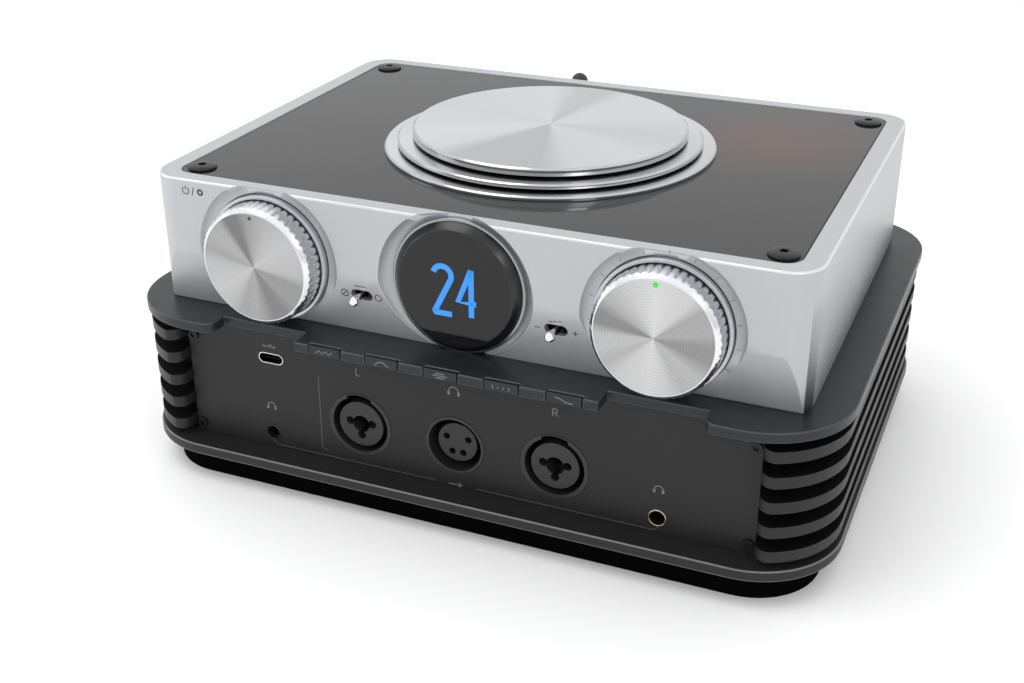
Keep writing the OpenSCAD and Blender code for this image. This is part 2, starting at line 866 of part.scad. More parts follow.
module capacitors() {
    color([0.10, 0.12, 0.20]) for (i = [0:3], j = [0:1]) {
        x = -66 + i * 22;
        y = 4 + j * 22;
        difference() {
            post(x, y, board_z + board_t, 30, 8);
            translate([x, y, board_z + board_t + 26]) rotate_extrude() polygon([[8, 0], [9, 0], [9, 1.2],
                [8, 1.2], [7.4, 0.6]]);
        }
    }
}

module chip_heatsinks() {
    color([0.30, 0.31, 0.33]) for (x = [-40, 40]) union() {
        block([x - 16, -34, board_z + board_t], [x + 16, -18, board_z + board_t + 4]);
        for (k = [0:6]) translate([x - 16 + k * 5, 0, 0])
            block([0, -34, board_z + board_t + 3], [2, -18, board_z + 20]);
    }
}

// ---- rear ----

rear_y = -panel_front;
line_x = [-86, -70];
line_z = [26, 46];
xlr_x = [-50, 52];
rear_z = 34;

module rear_panel() {
    y0 = -panel_back - 1;
    y1 = rear_y + 1;
    color(graphite) difference() {
        panel_blank(-panel_back, rear_y);
        for (x = line_x, z = line_z) rod_y(x, z, y0, y1, 4.6);
        for (x = xlr_x) rod_y(x, rear_z, y0, y1, 11.1);
        rod_y(88, 28, y0, y1, 5.1);
        block([4.9, y0, 23.9], [21.1, y1, 37.6]);
        block([63.9, y0, 39.9], [76.1, y1, 51.1]);
        rod_y(-aerial_x, aerial_z, y0, y1, 3.3);
    }
}

// Coaxial line sockets: two pairs of bushes with a centre hole
module line_sockets() {
    color([0.86, 0.72, 0.38]) for (x = line_x, z = line_z) difference() {
        union() {
            rod_y(x, z, rear_y - 6, rear_y, 4.5);
            rod_y(x, z, rear_y - eps, rear_y + 9, 4.15);
        }
        ring_y(x, z, rear_y - 1, rear_y + 10, 3.6, 2.6);
        rod_y(x, z, rear_y - 3, rear_y + 10, 1.6);
    }
}

// Balanced outputs, network port, square data port and the power inlet
module rear_sockets() {
    color(black) {
        for (x = xlr_x) union() {
            difference() {
                rod_y(x, rear_z, rear_y - 16, rear_y + 0.4, 11);
                rod_y(x, rear_z, rear_y - 12, rear_y + 1, 9);
            }
            for (a = [30, 150, 270])
                rod_y(x + 4.5 * cos(a), rear_z + 4.5 * sin(a), rear_y - 13, rear_y - 2, 1.2);
        }
        difference() {
            block([5, rear_y - 18, 24], [21, rear_y + 0.3, 37.5]);
            block([7, rear_y - 14, 25.5], [19, rear_y + 1, 34]);
        }
        difference() {
            block([64, rear_y - 16, 40], [76, rear_y + 0.3, 51]);
            block([65.6, rear_y - 9, 41.4], [74.4, rear_y + 1, 49.6]);
        }
        block([67.2, rear_y - 10, 43.9], [72.8, rear_y - 1, 47.1]);
        difference() {
            rod_y(88, 28, rear_y - 14, rear_y + 0.4, 5);
            rod_y(88, 28, rear_y - 10, rear_y + 1, 2.8);
        }
        rod_y(88, 28, rear_y - 11, rear_y - 0.5, 1);
    }
}

aerial_y = rear_y + 15.5;
aerial_r = 3.5;

module aerial_mount() {
    color([0.86, 0.72, 0.38]) difference() {
        union() {
            rod_y(-aerial_x, aerial_z, rear_y - 8, rear_y + 5, 3.2);
            translate([-aerial_x, rear_y + 2, aerial_z]) rotate([90, 0, 0])
                cylinder(h = 2, r = 5.5, $fn = 6);
        }
        rod_y(-aerial_x, aerial_z, rear_y - 2, rear_y + 6, 1 + run_gap);
    }
}

// Swivel piece: spins on the mount, with a fork for the rod's hinge
module aerial_knuckle() {
    x = -aerial_x;
    color(black) difference() {
        union() {
            rod_y(x, aerial_z, rear_y + 5.3, aerial_y - 4.5, 4.4);
            rod_y(x, aerial_z, rear_y - 1.5, rear_y + 5.4, 1);
            for (cheek = [x - 4, x + 2.3]) {
                block([cheek, aerial_y - 4.6, aerial_z - 3], [cheek + 1.7, aerial_y, aerial_z + 3]);
                translate([cheek, aerial_y, aerial_z]) rotate([0, 90, 0]) cylinder(h = 1.7, r = 3);
            }
        }
        translate([x - 5, aerial_y, aerial_z]) rotate([0, 90, 0]) cylinder(h = 10, r = 1.2 + run_gap);
    }
}

// Rod with a hinge eye and pin at its foot and a round tip
module aerial_rod() {
    tip_arc = [for (k = [0:5]) [aerial_r * cos(k * 15), aerial_len - aerial_r + aerial_r * sin(k * 15)]];
    color(black) translate([-aerial_x, aerial_y, aerial_z]) union() {
        translate([-2, 0, 0]) rotate([0, 90, 0]) cylinder(h = 4, r = 2.8);
        translate([-4, 0, 0]) rotate([0, 90, 0]) cylinder(h = 8, r = 1.2);
        block([-2, -2, 0], [2, 2, 6]);
        rotate_extrude() polygon(concat([[0, 5], [2.6, 5], [2.9, 6.5], [aerial_r, 22]], tip_arc,
            [[0, aerial_len]]));
    }
}

// ---- base ----

module base_plate() {
    color(graphite) difference() {
        union() {
            slab(base_w, base_d, base_r, rim_low, rim_t);
            for (sx = [-1, 1], sy = [-1, 1]) post(sx * 90, sy * 50, rim_top - eps, board_z - rim_top, 3.5);
        }
        for (sx = [-1, 1], sy = [-1, 1]) {
            post(sx * 90, sy * 50, rim_top - 2, 8, 1.25);
            post(sx * post_x, sy * post_y, rim_low - 1, rim_t + 2, 1.6);
        }
    }
}

module base_foot() {
    plinth_w = base_w - 2 * plinth_inset;
    plinth_d = base_d - 2 * plinth_inset;
    plinth_r = base_r - plinth_inset;
    color(black) union() {
        difference() {
            slab(plinth_w, plinth_d, plinth_r, foot_h, rim_low - foot_h);
            slab(plinth_w - 16, plinth_d - 16, plinth_r - 8, foot_h - 1, rim_low - foot_h - 1);
        }
        slab(plinth_w - 1, plinth_d - 1, plinth_r - 0.5, 0, foot_h + eps);
    }
}

upper_case();
top_glass();
glass_screws();
disc_stud();
disc_low();
disc_middle();
disc_spacers();
disc_top();
display_ring();
display_lens();
display_panel();
menu_collar();
volume_collar();
menu_knob();
menu_shaft();
menu_plunger();
menu_encoder();
volume_knob();
volume_lamp();
volume_shaft();
volume_pot();
motor();
motor_pinion();
mode_lever();
gain_lever();
mode_switch();
gain_switch();
control_board();
valve_board();
valves();
valve_sockets();
case_bolts();
platform();
key_1();
key_2();
key_3();
key_4();
key_5();
key_switches();
heatsink_left();
heatsink_right();
front_panel();
rear_panel();
panel_screws();
combo_left();
combo_right();
balanced_socket();
large_jack();
small_jack();
data_port();
main_board();
capacitors();
chip_heatsinks();
line_sockets();
rear_sockets();
aerial_mount();
aerial_knuckle();
aerial_rod();
base_plate();
base_foot();
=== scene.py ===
"""Looks of the headphone amplifier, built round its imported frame."""

import math

import bmesh
import bpy
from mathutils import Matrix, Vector


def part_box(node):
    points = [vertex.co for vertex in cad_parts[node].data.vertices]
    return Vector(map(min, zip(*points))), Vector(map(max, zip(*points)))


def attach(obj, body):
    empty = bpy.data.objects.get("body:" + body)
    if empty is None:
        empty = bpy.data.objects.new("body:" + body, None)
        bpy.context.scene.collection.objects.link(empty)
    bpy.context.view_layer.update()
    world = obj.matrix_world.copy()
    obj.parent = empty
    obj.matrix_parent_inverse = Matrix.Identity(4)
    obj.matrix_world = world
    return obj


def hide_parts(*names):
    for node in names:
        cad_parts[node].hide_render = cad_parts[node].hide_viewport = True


MM = 0.001
TAU = 2 * math.pi

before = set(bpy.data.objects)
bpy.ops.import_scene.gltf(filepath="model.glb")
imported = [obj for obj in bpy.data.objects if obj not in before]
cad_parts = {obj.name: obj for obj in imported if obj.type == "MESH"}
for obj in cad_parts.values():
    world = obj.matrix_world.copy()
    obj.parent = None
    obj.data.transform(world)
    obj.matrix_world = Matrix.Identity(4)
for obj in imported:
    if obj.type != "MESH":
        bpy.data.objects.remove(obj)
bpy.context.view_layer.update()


def span(node):
    """Lowest and highest corner of a CAD node, in millimetres"""
    low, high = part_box(node)
    return low / MM, high / MM


# ---- sizes in millimetres, from the frame ----

CASE_LOW, CASE_HIGH = span("upper_case")
CASE_W = CASE_HIGH.x - CASE_LOW.x
CASE_D = CASE_HIGH.y - CASE_LOW.y
CASE_FRONT = CASE_LOW.y
CASE_TOP = CASE_HIGH.z
PLATE_LOW, PLATE_HIGH = span("platform")
PLATE_TOP = PLATE_HIGH.z
PLATE_FRONT = PLATE_LOW.y
GLASS_LOW, GLASS_HIGH = span("top_glass")
KNOB_LOW, KNOB_HIGH = span("volume_knob")
KNOB_X = (KNOB_LOW.x + KNOB_HIGH.x) / 2
KNOB_Z = (KNOB_LOW.z + KNOB_HIGH.z) / 2
KNOB_FACE = KNOB_LOW.y
KNOB_BACK = KNOB_HIGH.y
KNOB_R = (KNOB_HIGH.x - KNOB_LOW.x) / 2
LENS_LOW, LENS_HIGH = span("display_lens")
LENS_FACE = LENS_LOW.y
PANEL_FRONT = span("front_panel")[0].y
PANEL_BACK = span("front_panel")[1].y
JACK_LOW, JACK_HIGH = span("large_jack")

# measures of the CAD that a box from the frame cannot give
CASE_R = 10.8
BASE_R = 30
LEAN = 4.9
CASE_WALL = 6
GLASS_GAP = 0.4
CREASE_Z = PLATE_TOP + 21.6
WELL_R = 26.6
WELL_DEPTH = 1.8
WELL_SLOPE = 1.4
SEAT_R = 22.6
SEAT_DEPTH = 4
POCKET_R = 27.4
POCKET_DEPTH = 5.5
POCKET_SLOPE = 2.9
COLLAR_R = 21.1
GRIP_GROOVES = 48
DOT_RISE = 17.5
FACE_R = 19.3
LENS_FACE_R = 20.15
LEVER_X = 34.6
LEVER_Z = PLATE_TOP + 15
LEVER_PIVOT = CASE_FRONT + 7.4
LEVER_RECESS = CASE_FRONT + 4.5
WALL_BACK = CASE_FRONT + 12.7
KEY_PITCH = 21.3
KEY_W = 11.7

# values for looks only
RIM_BEVEL = 0.65
EDGE_BEVEL = 0.25
EDGE_ANGLE = 24
CREASE_SOFT = 25
FIN_SHADE_DEPTH = 10.5
RING_R = 20.5
SKIN = 0.03

# the wave texture multiplies its distance by this before the sine
WAVE_FACTOR = 20


# ---- shared shapes ----


def round_corners(points, radii, steps=5, closed=False, share=0.49):
    """A 2-D line with its corners rounded, one radius for each point.
    A corner takes up to a share of the lines that meet in it."""
    out = []
    for i, point in enumerate(points):
        here = Vector(point)
        at_end = not closed and i in (0, len(points) - 1)
        if at_end or radii[i] <= 0:
            out.append(here)
            continue
        a = Vector(points[i - 1]) - here
        b = Vector(points[(i + 1) % len(points)]) - here
        half = a.angle(b) / 2
        cut = min(radii[i] / math.tan(half), a.length * share, b.length * share)
        radius = cut * math.tan(half)
        middle = here + (a.normalized() + b.normalized()).normalized() * radius / math.sin(half)
        start = here + a.normalized() * cut - middle
        stop = here + b.normalized() * cut - middle
        sweep = start.angle(stop)
        for k in range(steps + 1):
            t = k / steps
            near = math.sin((1 - t) * sweep) / math.sin(sweep)
            far = math.sin(t * sweep) / math.sin(sweep)
            out.append(middle + start * near + stop * far)
    return out


def round_rect(w, d, r, steps=16):
    """Outline of a rectangle with round corners, centred"""
    corners = [(-w / 2, -d / 2), (w / 2, -d / 2), (w / 2, d / 2), (-w / 2, d / 2)]
    return round_corners(corners, [r] * 4, steps, closed=True)


def to_object(name, bm, materials, at=(0, 0, 0)):
    """A finished mesh as an object, in metres from its millimetres"""
    bmesh.ops.recalc_face_normals(bm, faces=bm.faces)
    bmesh.ops.scale(bm, vec=(MM, MM, MM), verts=bm.verts)
    mesh = bpy.data.meshes.new(name)
    bm.to_mesh(mesh)
    bm.free()
    for item in materials:
        mesh.materials.append(item)
    piece = bpy.data.objects.new(name, mesh)
    bpy.context.scene.collection.objects.link(piece)
    piece.location = Vector(at) * MM
    return piece


def smooth(piece, sharp=32):
    """Smooth shading that keeps edges over an angle crisp"""
    piece.data.shade_smooth()
    piece.data.set_sharp_from_angle(angle=math.radians(sharp))
    return piece


def soften(piece, width, segments=3, angle=30, by_weight=False, edge=-1):
    """Rounds a piece's edges and keeps its flats flat; edge is the material of the roundings"""
    piece.data.shade_smooth()
    bevel = piece.modifiers.new("edges", "BEVEL")
    bevel.width = width * MM
    bevel.segments = segments
    bevel.limit_method = "WEIGHT" if by_weight else "ANGLE"
    bevel.angle_limit = math.radians(angle)
    bevel.use_clamp_overlap = not by_weight and edge < 0
    bevel.miter_outer = "MITER_ARC"
    bevel.material = edge
    normals = piece.modifiers.new("flats", "WEIGHTED_NORMAL")
    normals.weight = 90
    return piece


def finish(piece, body, slot, *nodes):
    """Puts a piece on its body and hides the CAD nodes it stands for; slot is not used"""
    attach(piece, body)
    if nodes:
        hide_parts(*nodes)
    return piece


def prism(outline, low, high, bm=None, axis="Z"):
    """Solid between two levels with the same outline"""
    bm = bm or bmesh.new()
    place = {
        "Z": lambda p, h: (p[0], p[1], h),
        "Y": lambda p, h: (p[0], h, p[1]),
        "X": lambda p, h: (h, p[0], p[1]),
    }[axis]
    floor = [bm.verts.new(place(p, low)) for p in outline]
    roof = [bm.verts.new(place(p, high)) for p in outline]
    bm.faces.new(floor)
    bm.faces.new(roof)
    for k in range(len(outline)):
        n = (k + 1) % len(outline)
        bm.faces.new((floor[k], floor[n], roof[n], roof[k]))
    return bm


def lathe(profile, axis="Y", centre=(0, 0), segments=96, bm=None, zones=None, dents=None):
    """Turned body from (radius, height) points.
    zones gives a material index for each stretch, dents = (count, depths) cuts grip grooves."""
    bm = bm or bmesh.new()
    count, depths = dents or (0, [0] * len(profile))
    rings = []
    for (radius, height), depth in zip(profile, depths):
        steps = 1 if radius < 1e-6 else segments
        ring = []
        for k in range(steps):
            turn = TAU * k / segments
            r = radius - depth * max(0, (math.cos(count * turn) - 0.2) / 0.8)
            u = centre[0] + r * math.cos(turn)
            v = centre[1] + r * math.sin(turn)
            spot = (u, height, v) if axis == "Y" else (u, v, height)
            ring.append(bm.verts.new(spot))
        rings.append(ring)
    for i, (one, two) in enumerate(zip(rings, rings[1:])):
        for k in range(segments):
            n = k + 1
            corners = [one[k % len(one)], one[n % len(one)], two[n % len(two)], two[k % len(two)]]
            corners = list(dict.fromkeys(corners))
            if len(corners) > 2:
                face = bm.faces.new(corners)
                face.material_index = zones[i] if zones else 0
    return bm


def box(low, high, bm=None):
    """Block between two corners"""
    outline = [(low[0], low[1]), (high[0], low[1]), (high[0], high[1]), (low[0], high[1])]
    return prism(outline, low[2], high[2], bm)


def stadium(x, z, half, r, steps=10):
    """Outline of a slot with round ends"""
    corners = [(x - half, z - r), (x + half, z - r), (x + half, z + r), (x - half, z + r)]
    return round_corners(corners, [r * 0.999] * 4, steps, closed=True)


def baked(piece):
    """The piece's mesh with its modifiers applied"""
    graph = bpy.context.evaluated_depsgraph_get()
    mesh = bpy.data.meshes.new_from_object(piece.evaluated_get(graph))
    piece.modifiers.clear()
    piece.data = mesh
    return piece


def carve(piece, *cutters):
    """Cuts each cutter's shape out of the piece"""
    tools = []
    for bm in cutters:
        tool = to_object("cutter", bm, [])
        cut = piece.modifiers.new("cut", "BOOLEAN")
        cut.operation = "DIFFERENCE"
        cut.solver = "EXACT"
        cut.object = tool
        tools.append(tool)
    bpy.context.view_layer.update()
    baked(piece)
    for tool in tools:
        bpy.data.objects.remove(tool)
    return piece


def refined(node, body, slot, stuff, width, angle=35, edge=None, shade_mask=None):
    """The node's own shape with its edges rounded, standing for the node.
    edge is the material of the roundings; the last argument picks the faces that get near-black painted
    shade."""
    bm = bmesh.new()
    bm.from_mesh(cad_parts[node].data)
    bmesh.ops.scale(bm, vec=(1 / MM,) * 3, verts=bm.verts)
    bmesh.ops.remove_doubles(bm, verts=bm.verts, dist=0.002)
    bmesh.ops.dissolve_limit(bm, angle_limit=math.radians(1.2), verts=bm.verts, edges=bm.edges)
    bm.normal_update()
    # faces the mask picks get the near-black painted shade
    for face in bm.faces:
        face.material_index = 2 if shade_mask and shade_mask(face) else 0
    piece = to_object(node + "_form", bm, [stuff, edge or stuff, BLACK_AND_PAINTED_SHADE])
    soften(piece, width, 2, angle, edge=1 if edge else -1)
    return finish(piece, body, slot, node)


def fin_shade_mask(face):
    """Whether a face of a heatsink lies between its fins, where it gets near-black painted shade"""
    spot = face.calc_center_median()
    across = max(0, abs(spot.x) - PLATE_HIGH.x + BASE_R)
    along = max(0, abs(spot.y) - PLATE_HIGH.y + BASE_R)
    return abs(face.normal.z) > 0.5 or BASE_R - math.hypot(across, along) > FIN_SHADE_DEPTH


def port_shade_mask(face):
    """Whether a face of the data port lies behind its front edge, where it gets near-black painted shade
    """
    return face.calc_center_median().y > PANEL_FRONT + 0.1


# ---- materials ----


def material(name, colour, metallic=0.0, roughness=0.5, **sockets):
    """Principled material; extra sockets are set by name"""
    made = bpy.data.materials.new(name)
    made.use_nodes = True
    shader = made.node_tree.nodes["Principled BSDF"]
    shader.inputs["Base Color"].default_value = (*colour, 1)
    shader.inputs["Metallic"].default_value = metallic
    shader.inputs["Roughness"].default_value = roughness
    for socket, value in sockets.items():
        shader.inputs[socket.replace("_", " ")].default_value = value
    return made


def add_node(made, kind, **settings):
    """New node in a material's tree"""
    node = made.node_tree.nodes.new("ShaderNode" + kind)
    for key, value in settings.items():
        if key in node.inputs:
            node.inputs[key].default_value = value
        else:
            setattr(node, key, value)
    return node


def join(made, source, target):
    """Link between two sockets"""
    made.node_tree.links.new(source, target)


def object_noise(made, size, detail=3, stretch=(1, 1, 1)):
    """Noise with features of a size in millimetres, fixed to the object"""
    coords = add_node(made, "TexCoord")
    mapping = add_node(made, "Mapping", Scale=stretch)
    noise = add_node(made, "TexNoise", Scale=1 / (size * MM), Detail=detail)
    join(made, coords.outputs["Object"], mapping.inputs["Vector"])
    join(made, mapping.outputs["Vector"], noise.inputs["Vector"])
    return noise.outputs["Fac"]


def grain(made, size, height, spread, mottle=0.0, stretch=(1, 1, 1)):
    """Surface grain: bump of a height in mm, spread of roughness, slow variation of colour"""
    shader = made.node_tree.nodes["Principled BSDF"]
    fine = object_noise(made, size, 3, stretch)
    bump = add_node(made, "Bump", Strength=1.0, Distance=height * MM)
    join(made, fine, bump.inputs["Height"])
    join(made, bump.outputs["Normal"], shader.inputs["Normal"])
    slow = object_noise(made, size * 40, 4)
    middle = shader.inputs["Roughness"].default_value
    rough = add_node(made, "MapRange")
    rough.inputs["From Min"].default_value = 0.3
    rough.inputs["From Max"].default_value = 0.7
    rough.inputs["To Min"].default_value = middle - spread
    rough.inputs["To Max"].default_value = middle + spread
    join(made, slow, rough.inputs["Value"])
    join(made, rough.outputs["Result"], shader.inputs["Roughness"])
    if mottle:
        tint(made, slow, mottle)
    return made


def tint(made, factor, amount):
    """Base colour that varies by a share either way with a factor"""
    shader = made.node_tree.nodes["Principled BSDF"]
    colour = shader.inputs["Base Color"].default_value
    ramp = add_node(made, "ValToRGB")
    dark = [c * (1 - amount) for c in colour[:3]]
    light = [min(1, c * (1 + amount)) for c in colour[:3]]
    ramp.color_ramp.elements[0].position = 0.3
    ramp.color_ramp.elements[0].color = (*dark, 1)
    ramp.color_ramp.elements[1].position = 0.7
    ramp.color_ramp.elements[1].color = (*light, 1)
    join(made, factor, ramp.inputs["Fac"])
    join(made, ramp.outputs["Color"], shader.inputs["Base Color"])


def spun_with_painted_sheen(name, colour, roughness, axis, pitch, painted_wedges, contrast, turn=0):
    """Metal faced on a lathe: fine rings, and wedges of painted highlight and shade in its base colour,
    in place of reflections, given as (degrees, share).
    contrast above 1 darkens every painted wedge that is not at full brightness."""
    made = material(name, colour, 1.0, roughness, Anisotropic=0.55)
    shader = made.node_tree.nodes["Principled BSDF"]
    tangent = add_node(made, "Tangent", direction_type="RADIAL", axis=axis)
    join(made, tangent.outputs["Tangent"], shader.inputs["Tangent"])
    coords = add_node(made, "TexCoord")
    rings = add_node(made, "TexWave", wave_type="RINGS", rings_direction=axis)
    rings.inputs["Scale"].default_value = TAU / (WAVE_FACTOR * pitch * MM)
    rings.inputs["Distortion"].default_value = 0.6
    join(made, coords.outputs["Object"], rings.inputs["Vector"])
    bump = add_node(made, "Bump", Strength=0.6, Distance=0.004 * MM)
    join(made, rings.outputs["Fac"], bump.inputs["Height"])
    join(made, bump.outputs["Normal"], shader.inputs["Normal"])
    split = add_node(made, "SeparateXYZ")
    plane = add_node(made, "CombineXYZ")
    join(made, coords.outputs["Object"], split.inputs[0])
    join(made, split.outputs["X"], plane.inputs["X"])
    join(made, split.outputs["Z" if axis == "Y" else "Y"], plane.inputs["Y"])
    aim = add_node(made, "Mapping")
    aim.inputs["Rotation"].default_value = (0, 0, math.radians(180 - turn))
    sweep = add_node(made, "TexGradient", gradient_type="RADIAL")
    join(made, plane.outputs[0], aim.inputs["Vector"])
    join(made, aim.outputs["Vector"], sweep.inputs["Vector"])
    # painted highlights and shade: the wedges set the base colour round the face
    ramp = add_node(made, "ValToRGB")
    stops = ramp.color_ramp.elements
    for angle, share in painted_wedges:
        ends = {0: 0, 360: -1}
        stop = stops[ends[angle]] if angle in ends else stops.new(angle / 360)
        level = 1 - (1 - share) * contrast
        stop.color = (*(c * level for c in colour), 1)
    join(made, sweep.outputs["Fac"], ramp.inputs["Fac"])
    fine = add_node(made, "MapRange")
    fine.inputs["To Min"].default_value = 0.9
    fine.inputs["To Max"].default_value = 1.08
    join(made, rings.outputs["Fac"], fine.inputs["Value"])
    mixed = add_node(made, "VectorMath", operation="SCALE")
    join(made, ramp.outputs["Color"], mixed.inputs[0])
    join(made, fine.outputs["Result"], mixed.inputs["Scale"])
    join(made, mixed.outputs[0], shader.inputs["Base Color"])
    return made


def glowing(name, colour, strength):
    """Lit surface: a light pipe or the picture on the display"""
    made = material(name, (0.004, 0.004, 0.004), 0.0, 0.5)
    shader = made.node_tree.nodes["Principled BSDF"]
    shader.inputs["Emission Color"].default_value = (*colour, 1)
    shader.inputs["Emission Strength"].default_value = strength
    return grain(made, 0.2, 0.002, 0.05)


def smoked_glass():
    """Dark glossy glass with a faint warm glow of the valves under it painted into its base colour"""
    made = material("smoked_glass", (0.009, 0.009, 0.009), 0.0, 0.06, IOR=1.34)
    shader = made.node_tree.nodes["Principled BSDF"]
    slow = object_noise(made, 30, 3)
    rough = add_node(made, "MapRange")
    rough.inputs["To Min"].default_value = 0.03
    rough.inputs["To Max"].default_value = 0.09
    join(made, slow, rough.inputs["Value"])
    join(made, rough.outputs["Result"], shader.inputs["Roughness"])
    # painted glow: the base colour turns warm near the valves, standing in for their light through the
    # glass
    coords = add_node(made, "TexCoord")
    valve_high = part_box("valves")[1]
    away = add_node(made, "VectorMath", operation="DISTANCE")
    away.inputs[1].default_value = (valve_high.x * 0.85, valve_high.y * 0.7, GLASS_HIGH.z * MM)
    join(made, coords.outputs["Object"], away.inputs[0])
    painted_glow = add_node(made, "ValToRGB")
    painted_glow.color_ramp.elements[0].color = (0.06, 0.016, 0.011, 1)
    painted_glow.color_ramp.elements[1].color = (0.012, 0.012, 0.012, 1)
    painted_glow.color_ramp.elements[1].position = 0.05
    painted_glow.color_ramp.interpolation = "EASE"
    join(made, away.outputs["Value"], painted_glow.inputs["Fac"])
    join(made, painted_glow.outputs["Color"], shader.inputs["Base Color"])
    return made


SILVER = grain(material("silver_blasted", (0.455, 0.466, 0.48), 0.5, 0.42), 0.35, 0.006, 0.03, 0.02)
SILVER_EDGE = grain(
    material("silver_edge", (0.70, 0.71, 0.73), 0.8, 0.3), 0.35, 0.003, 0.03, 0.02
)
# painted highlights and shade: these wedges go into the base colour of the spun faces in place of their
# reflections
# brightness round the spun faces as (degrees, share), judged; the contrasts
# were chosen by comparing renders with the photograph
FACE_PAINTED_SHEEN_WEDGES = [
    (0, 0.60), (14, 0.72), (38, 0.70), (50, 0.92), (90, 1.0), (118, 0.90), (146, 0.74),
    (160, 0.56), (173, 0.56), (184, 0.82), (200, 0.84), (216, 0.76), (232, 0.92), (268, 1.0),
    (288, 0.92), (302, 0.78), (324, 0.80), (344, 0.60), (360, 0.60),
]
DISC_PAINTED_SHEEN_WEDGES = [
    (0, 0.90), (40, 0.98), (72, 0.96), (84, 0.84), (98, 0.86), (110, 0.97), (170, 0.94), (215, 1.0),
    (236, 0.97), (248, 0.82), (286, 0.80), (300, 0.93), (330, 0.96), (360, 0.90),
]
FACE_SHEEN_CONTRAST = 1.35
DISC_SHEEN_CONTRAST = 1.7
SPUN_SHEEN_PAINTED_VOLUME = spun_with_painted_sheen(
    "silver_spun_painted_sheen_volume", (0.58, 0.58, 0.586), 0.27, "Y", 0.8, FACE_PAINTED_SHEEN_WEDGES, FACE_SHEEN_CONTRAST
)
# the menu face is a darker copy of the volume face's metal, which is painted shade; its painted wedges
# are turned by -52 degrees
SPUN_SHEEN_SHADE_PAINTED_MENU = spun_with_painted_sheen(
    "silver_spun_painted_sheen_shade_menu", (0.47, 0.47, 0.476), 0.27, "Y", 0.8, FACE_PAINTED_SHEEN_WEDGES, FACE_SHEEN_CONTRAST, -52
)
SPUN_SHEEN_PAINTED_DISC = spun_with_painted_sheen(
    "silver_spun_painted_sheen_disc", (0.66, 0.66, 0.67), 0.26, "Z", 0.5, DISC_PAINTED_SHEEN_WEDGES, DISC_SHEEN_CONTRAST
)
# a darker copy of the polished metal: painted shade standing in for the dark reflections in the discs'
# edges
DISC_EDGE_PAINTED_SHADE = grain(material("disc_edge_painted_shade", (0.50, 0.51, 0.53), 1.0, 0.14), 0.5, 0.001, 0.03, 0.02)
RING = grain(material("dark_ring", (0.30, 0.31, 0.32), 1.0, 0.22), 0.5, 0.001, 0.03, 0.02)
POLISHED = grain(material("silver_polished", (0.74, 0.76, 0.79), 1.0, 0.12), 0.5, 0.001, 0.03, 0.02)
GRIP = grain(material("silver_grip", (0.66, 0.675, 0.695), 0.95, 0.27), 0.3, 0.003, 0.04, 0.03)
COLLAR = grain(material("silver_collar", (0.52, 0.53, 0.55), 0.9, 0.34), 0.3, 0.003, 0.04, 0.03)
CHROME = grain(material("chrome", (0.74, 0.75, 0.77), 1.0, 0.08), 0.6, 0.0005, 0.02, 0.01)
GLASS = smoked_glass()
LENS = grain(material("lens_black", (0.008, 0.008, 0.009), 0.0, 0.05, IOR=1.4), 8, 0.0005, 0.02)
LENS_EDGE = grain(material("lens_edge", (0.006, 0.006, 0.007), 0.0, 0.24, IOR=1.5), 8, 0.0005, 0.03)
SCREEN = grain(material("screen", (0.02, 0.02, 0.022), 0.0, 0.35), 0.5, 0.002, 0.05, 0.05)
SATIN_EDGE = grain(
    material("satin_edge", (0.055, 0.057, 0.06), 0.5, 0.36), 0.3, 0.005, 0.04, 0.05
)
SATIN = grain(
    material("black_satin", (0.024, 0.025, 0.027), 0.35, 0.36, IOR=1.42), 0.3, 0.006, 0.04, 0.05
)
GRAPHITE = grain(
    material("graphite", (0.017, 0.017, 0.0175), 0.1, 0.46, IOR=1.38), 0.3, 0.008, 0.05, 0.05
)
EDGE = grain(material("bright_edge", (0.16, 0.16, 0.165), 0.8, 0.35), 0.3, 0.004, 0.05, 0.05)
PALE_GOLD = grain(material("pale_gold", (0.58, 0.48, 0.26), 1.0, 0.25), 0.3, 0.002, 0.05, 0.05)
PLASTIC = grain(material("black_plastic", (0.016, 0.016, 0.017), 0.0, 0.42), 0.25, 0.01, 0.05, 0.06)
BLACKENED = grain(
    material("blackened_steel", (0.008, 0.008, 0.008), 0.2, 0.34, IOR=1.4), 0.2, 0.004, 0.06, 0.08
)
RUBBER = grain(material("rubber", (0.002, 0.002, 0.002), 0.0, 0.9, IOR=1.06), 0.5, 0.02, 0.08, 0.1)
GOLD = grain(material("gold_plate", (0.83, 0.62, 0.27), 1.0, 0.2), 0.3, 0.002, 0.05, 0.05)
STEEL = grain(material("steel", (0.58, 0.58, 0.6), 1.0, 0.3), 0.3, 0.004, 0.06, 0.05, (1, 8, 1))
BOARD = grain(material("board_green", (0.02, 0.11, 0.055), 0.0, 0.35), 0.8, 0.01, 0.06, 0.2)
CERAMIC = grain(material("ceramic", (0.80, 0.77, 0.70), 0.0, 0.3), 0.4, 0.004, 0.06, 0.04)
CANS = grain(material("can_sleeve", (0.03, 0.04, 0.09), 0.0, 0.3), 0.4, 0.002, 0.06, 0.06)
VALVE = grain(material("valve_glass", (0.30, 0.16, 0.10), 0.0, 0.08), 2, 0.001, 0.03, 0.2)
PRINT = grain(material("grey_print", (0.16, 0.16, 0.16), 0.0, 0.5), 0.1, 0.002, 0.05, 0.08)
DARK_PRINT = grain(material("dark_print", (0.045, 0.045, 0.05), 0.0, 0.5), 0.1, 0.002, 0.05, 0.08)
LINE_PRINT = grain(material("line_print", (0.085, 0.085, 0.088), 0.0, 0.5), 0.1, 0.002, 0.05, 0.08)
BLUE = glowing("display_blue", (0.035, 0.35, 1.0), 0.92)
GREEN = glowing("lamp_green", (0.02, 0.85, 0.02), 1.0)
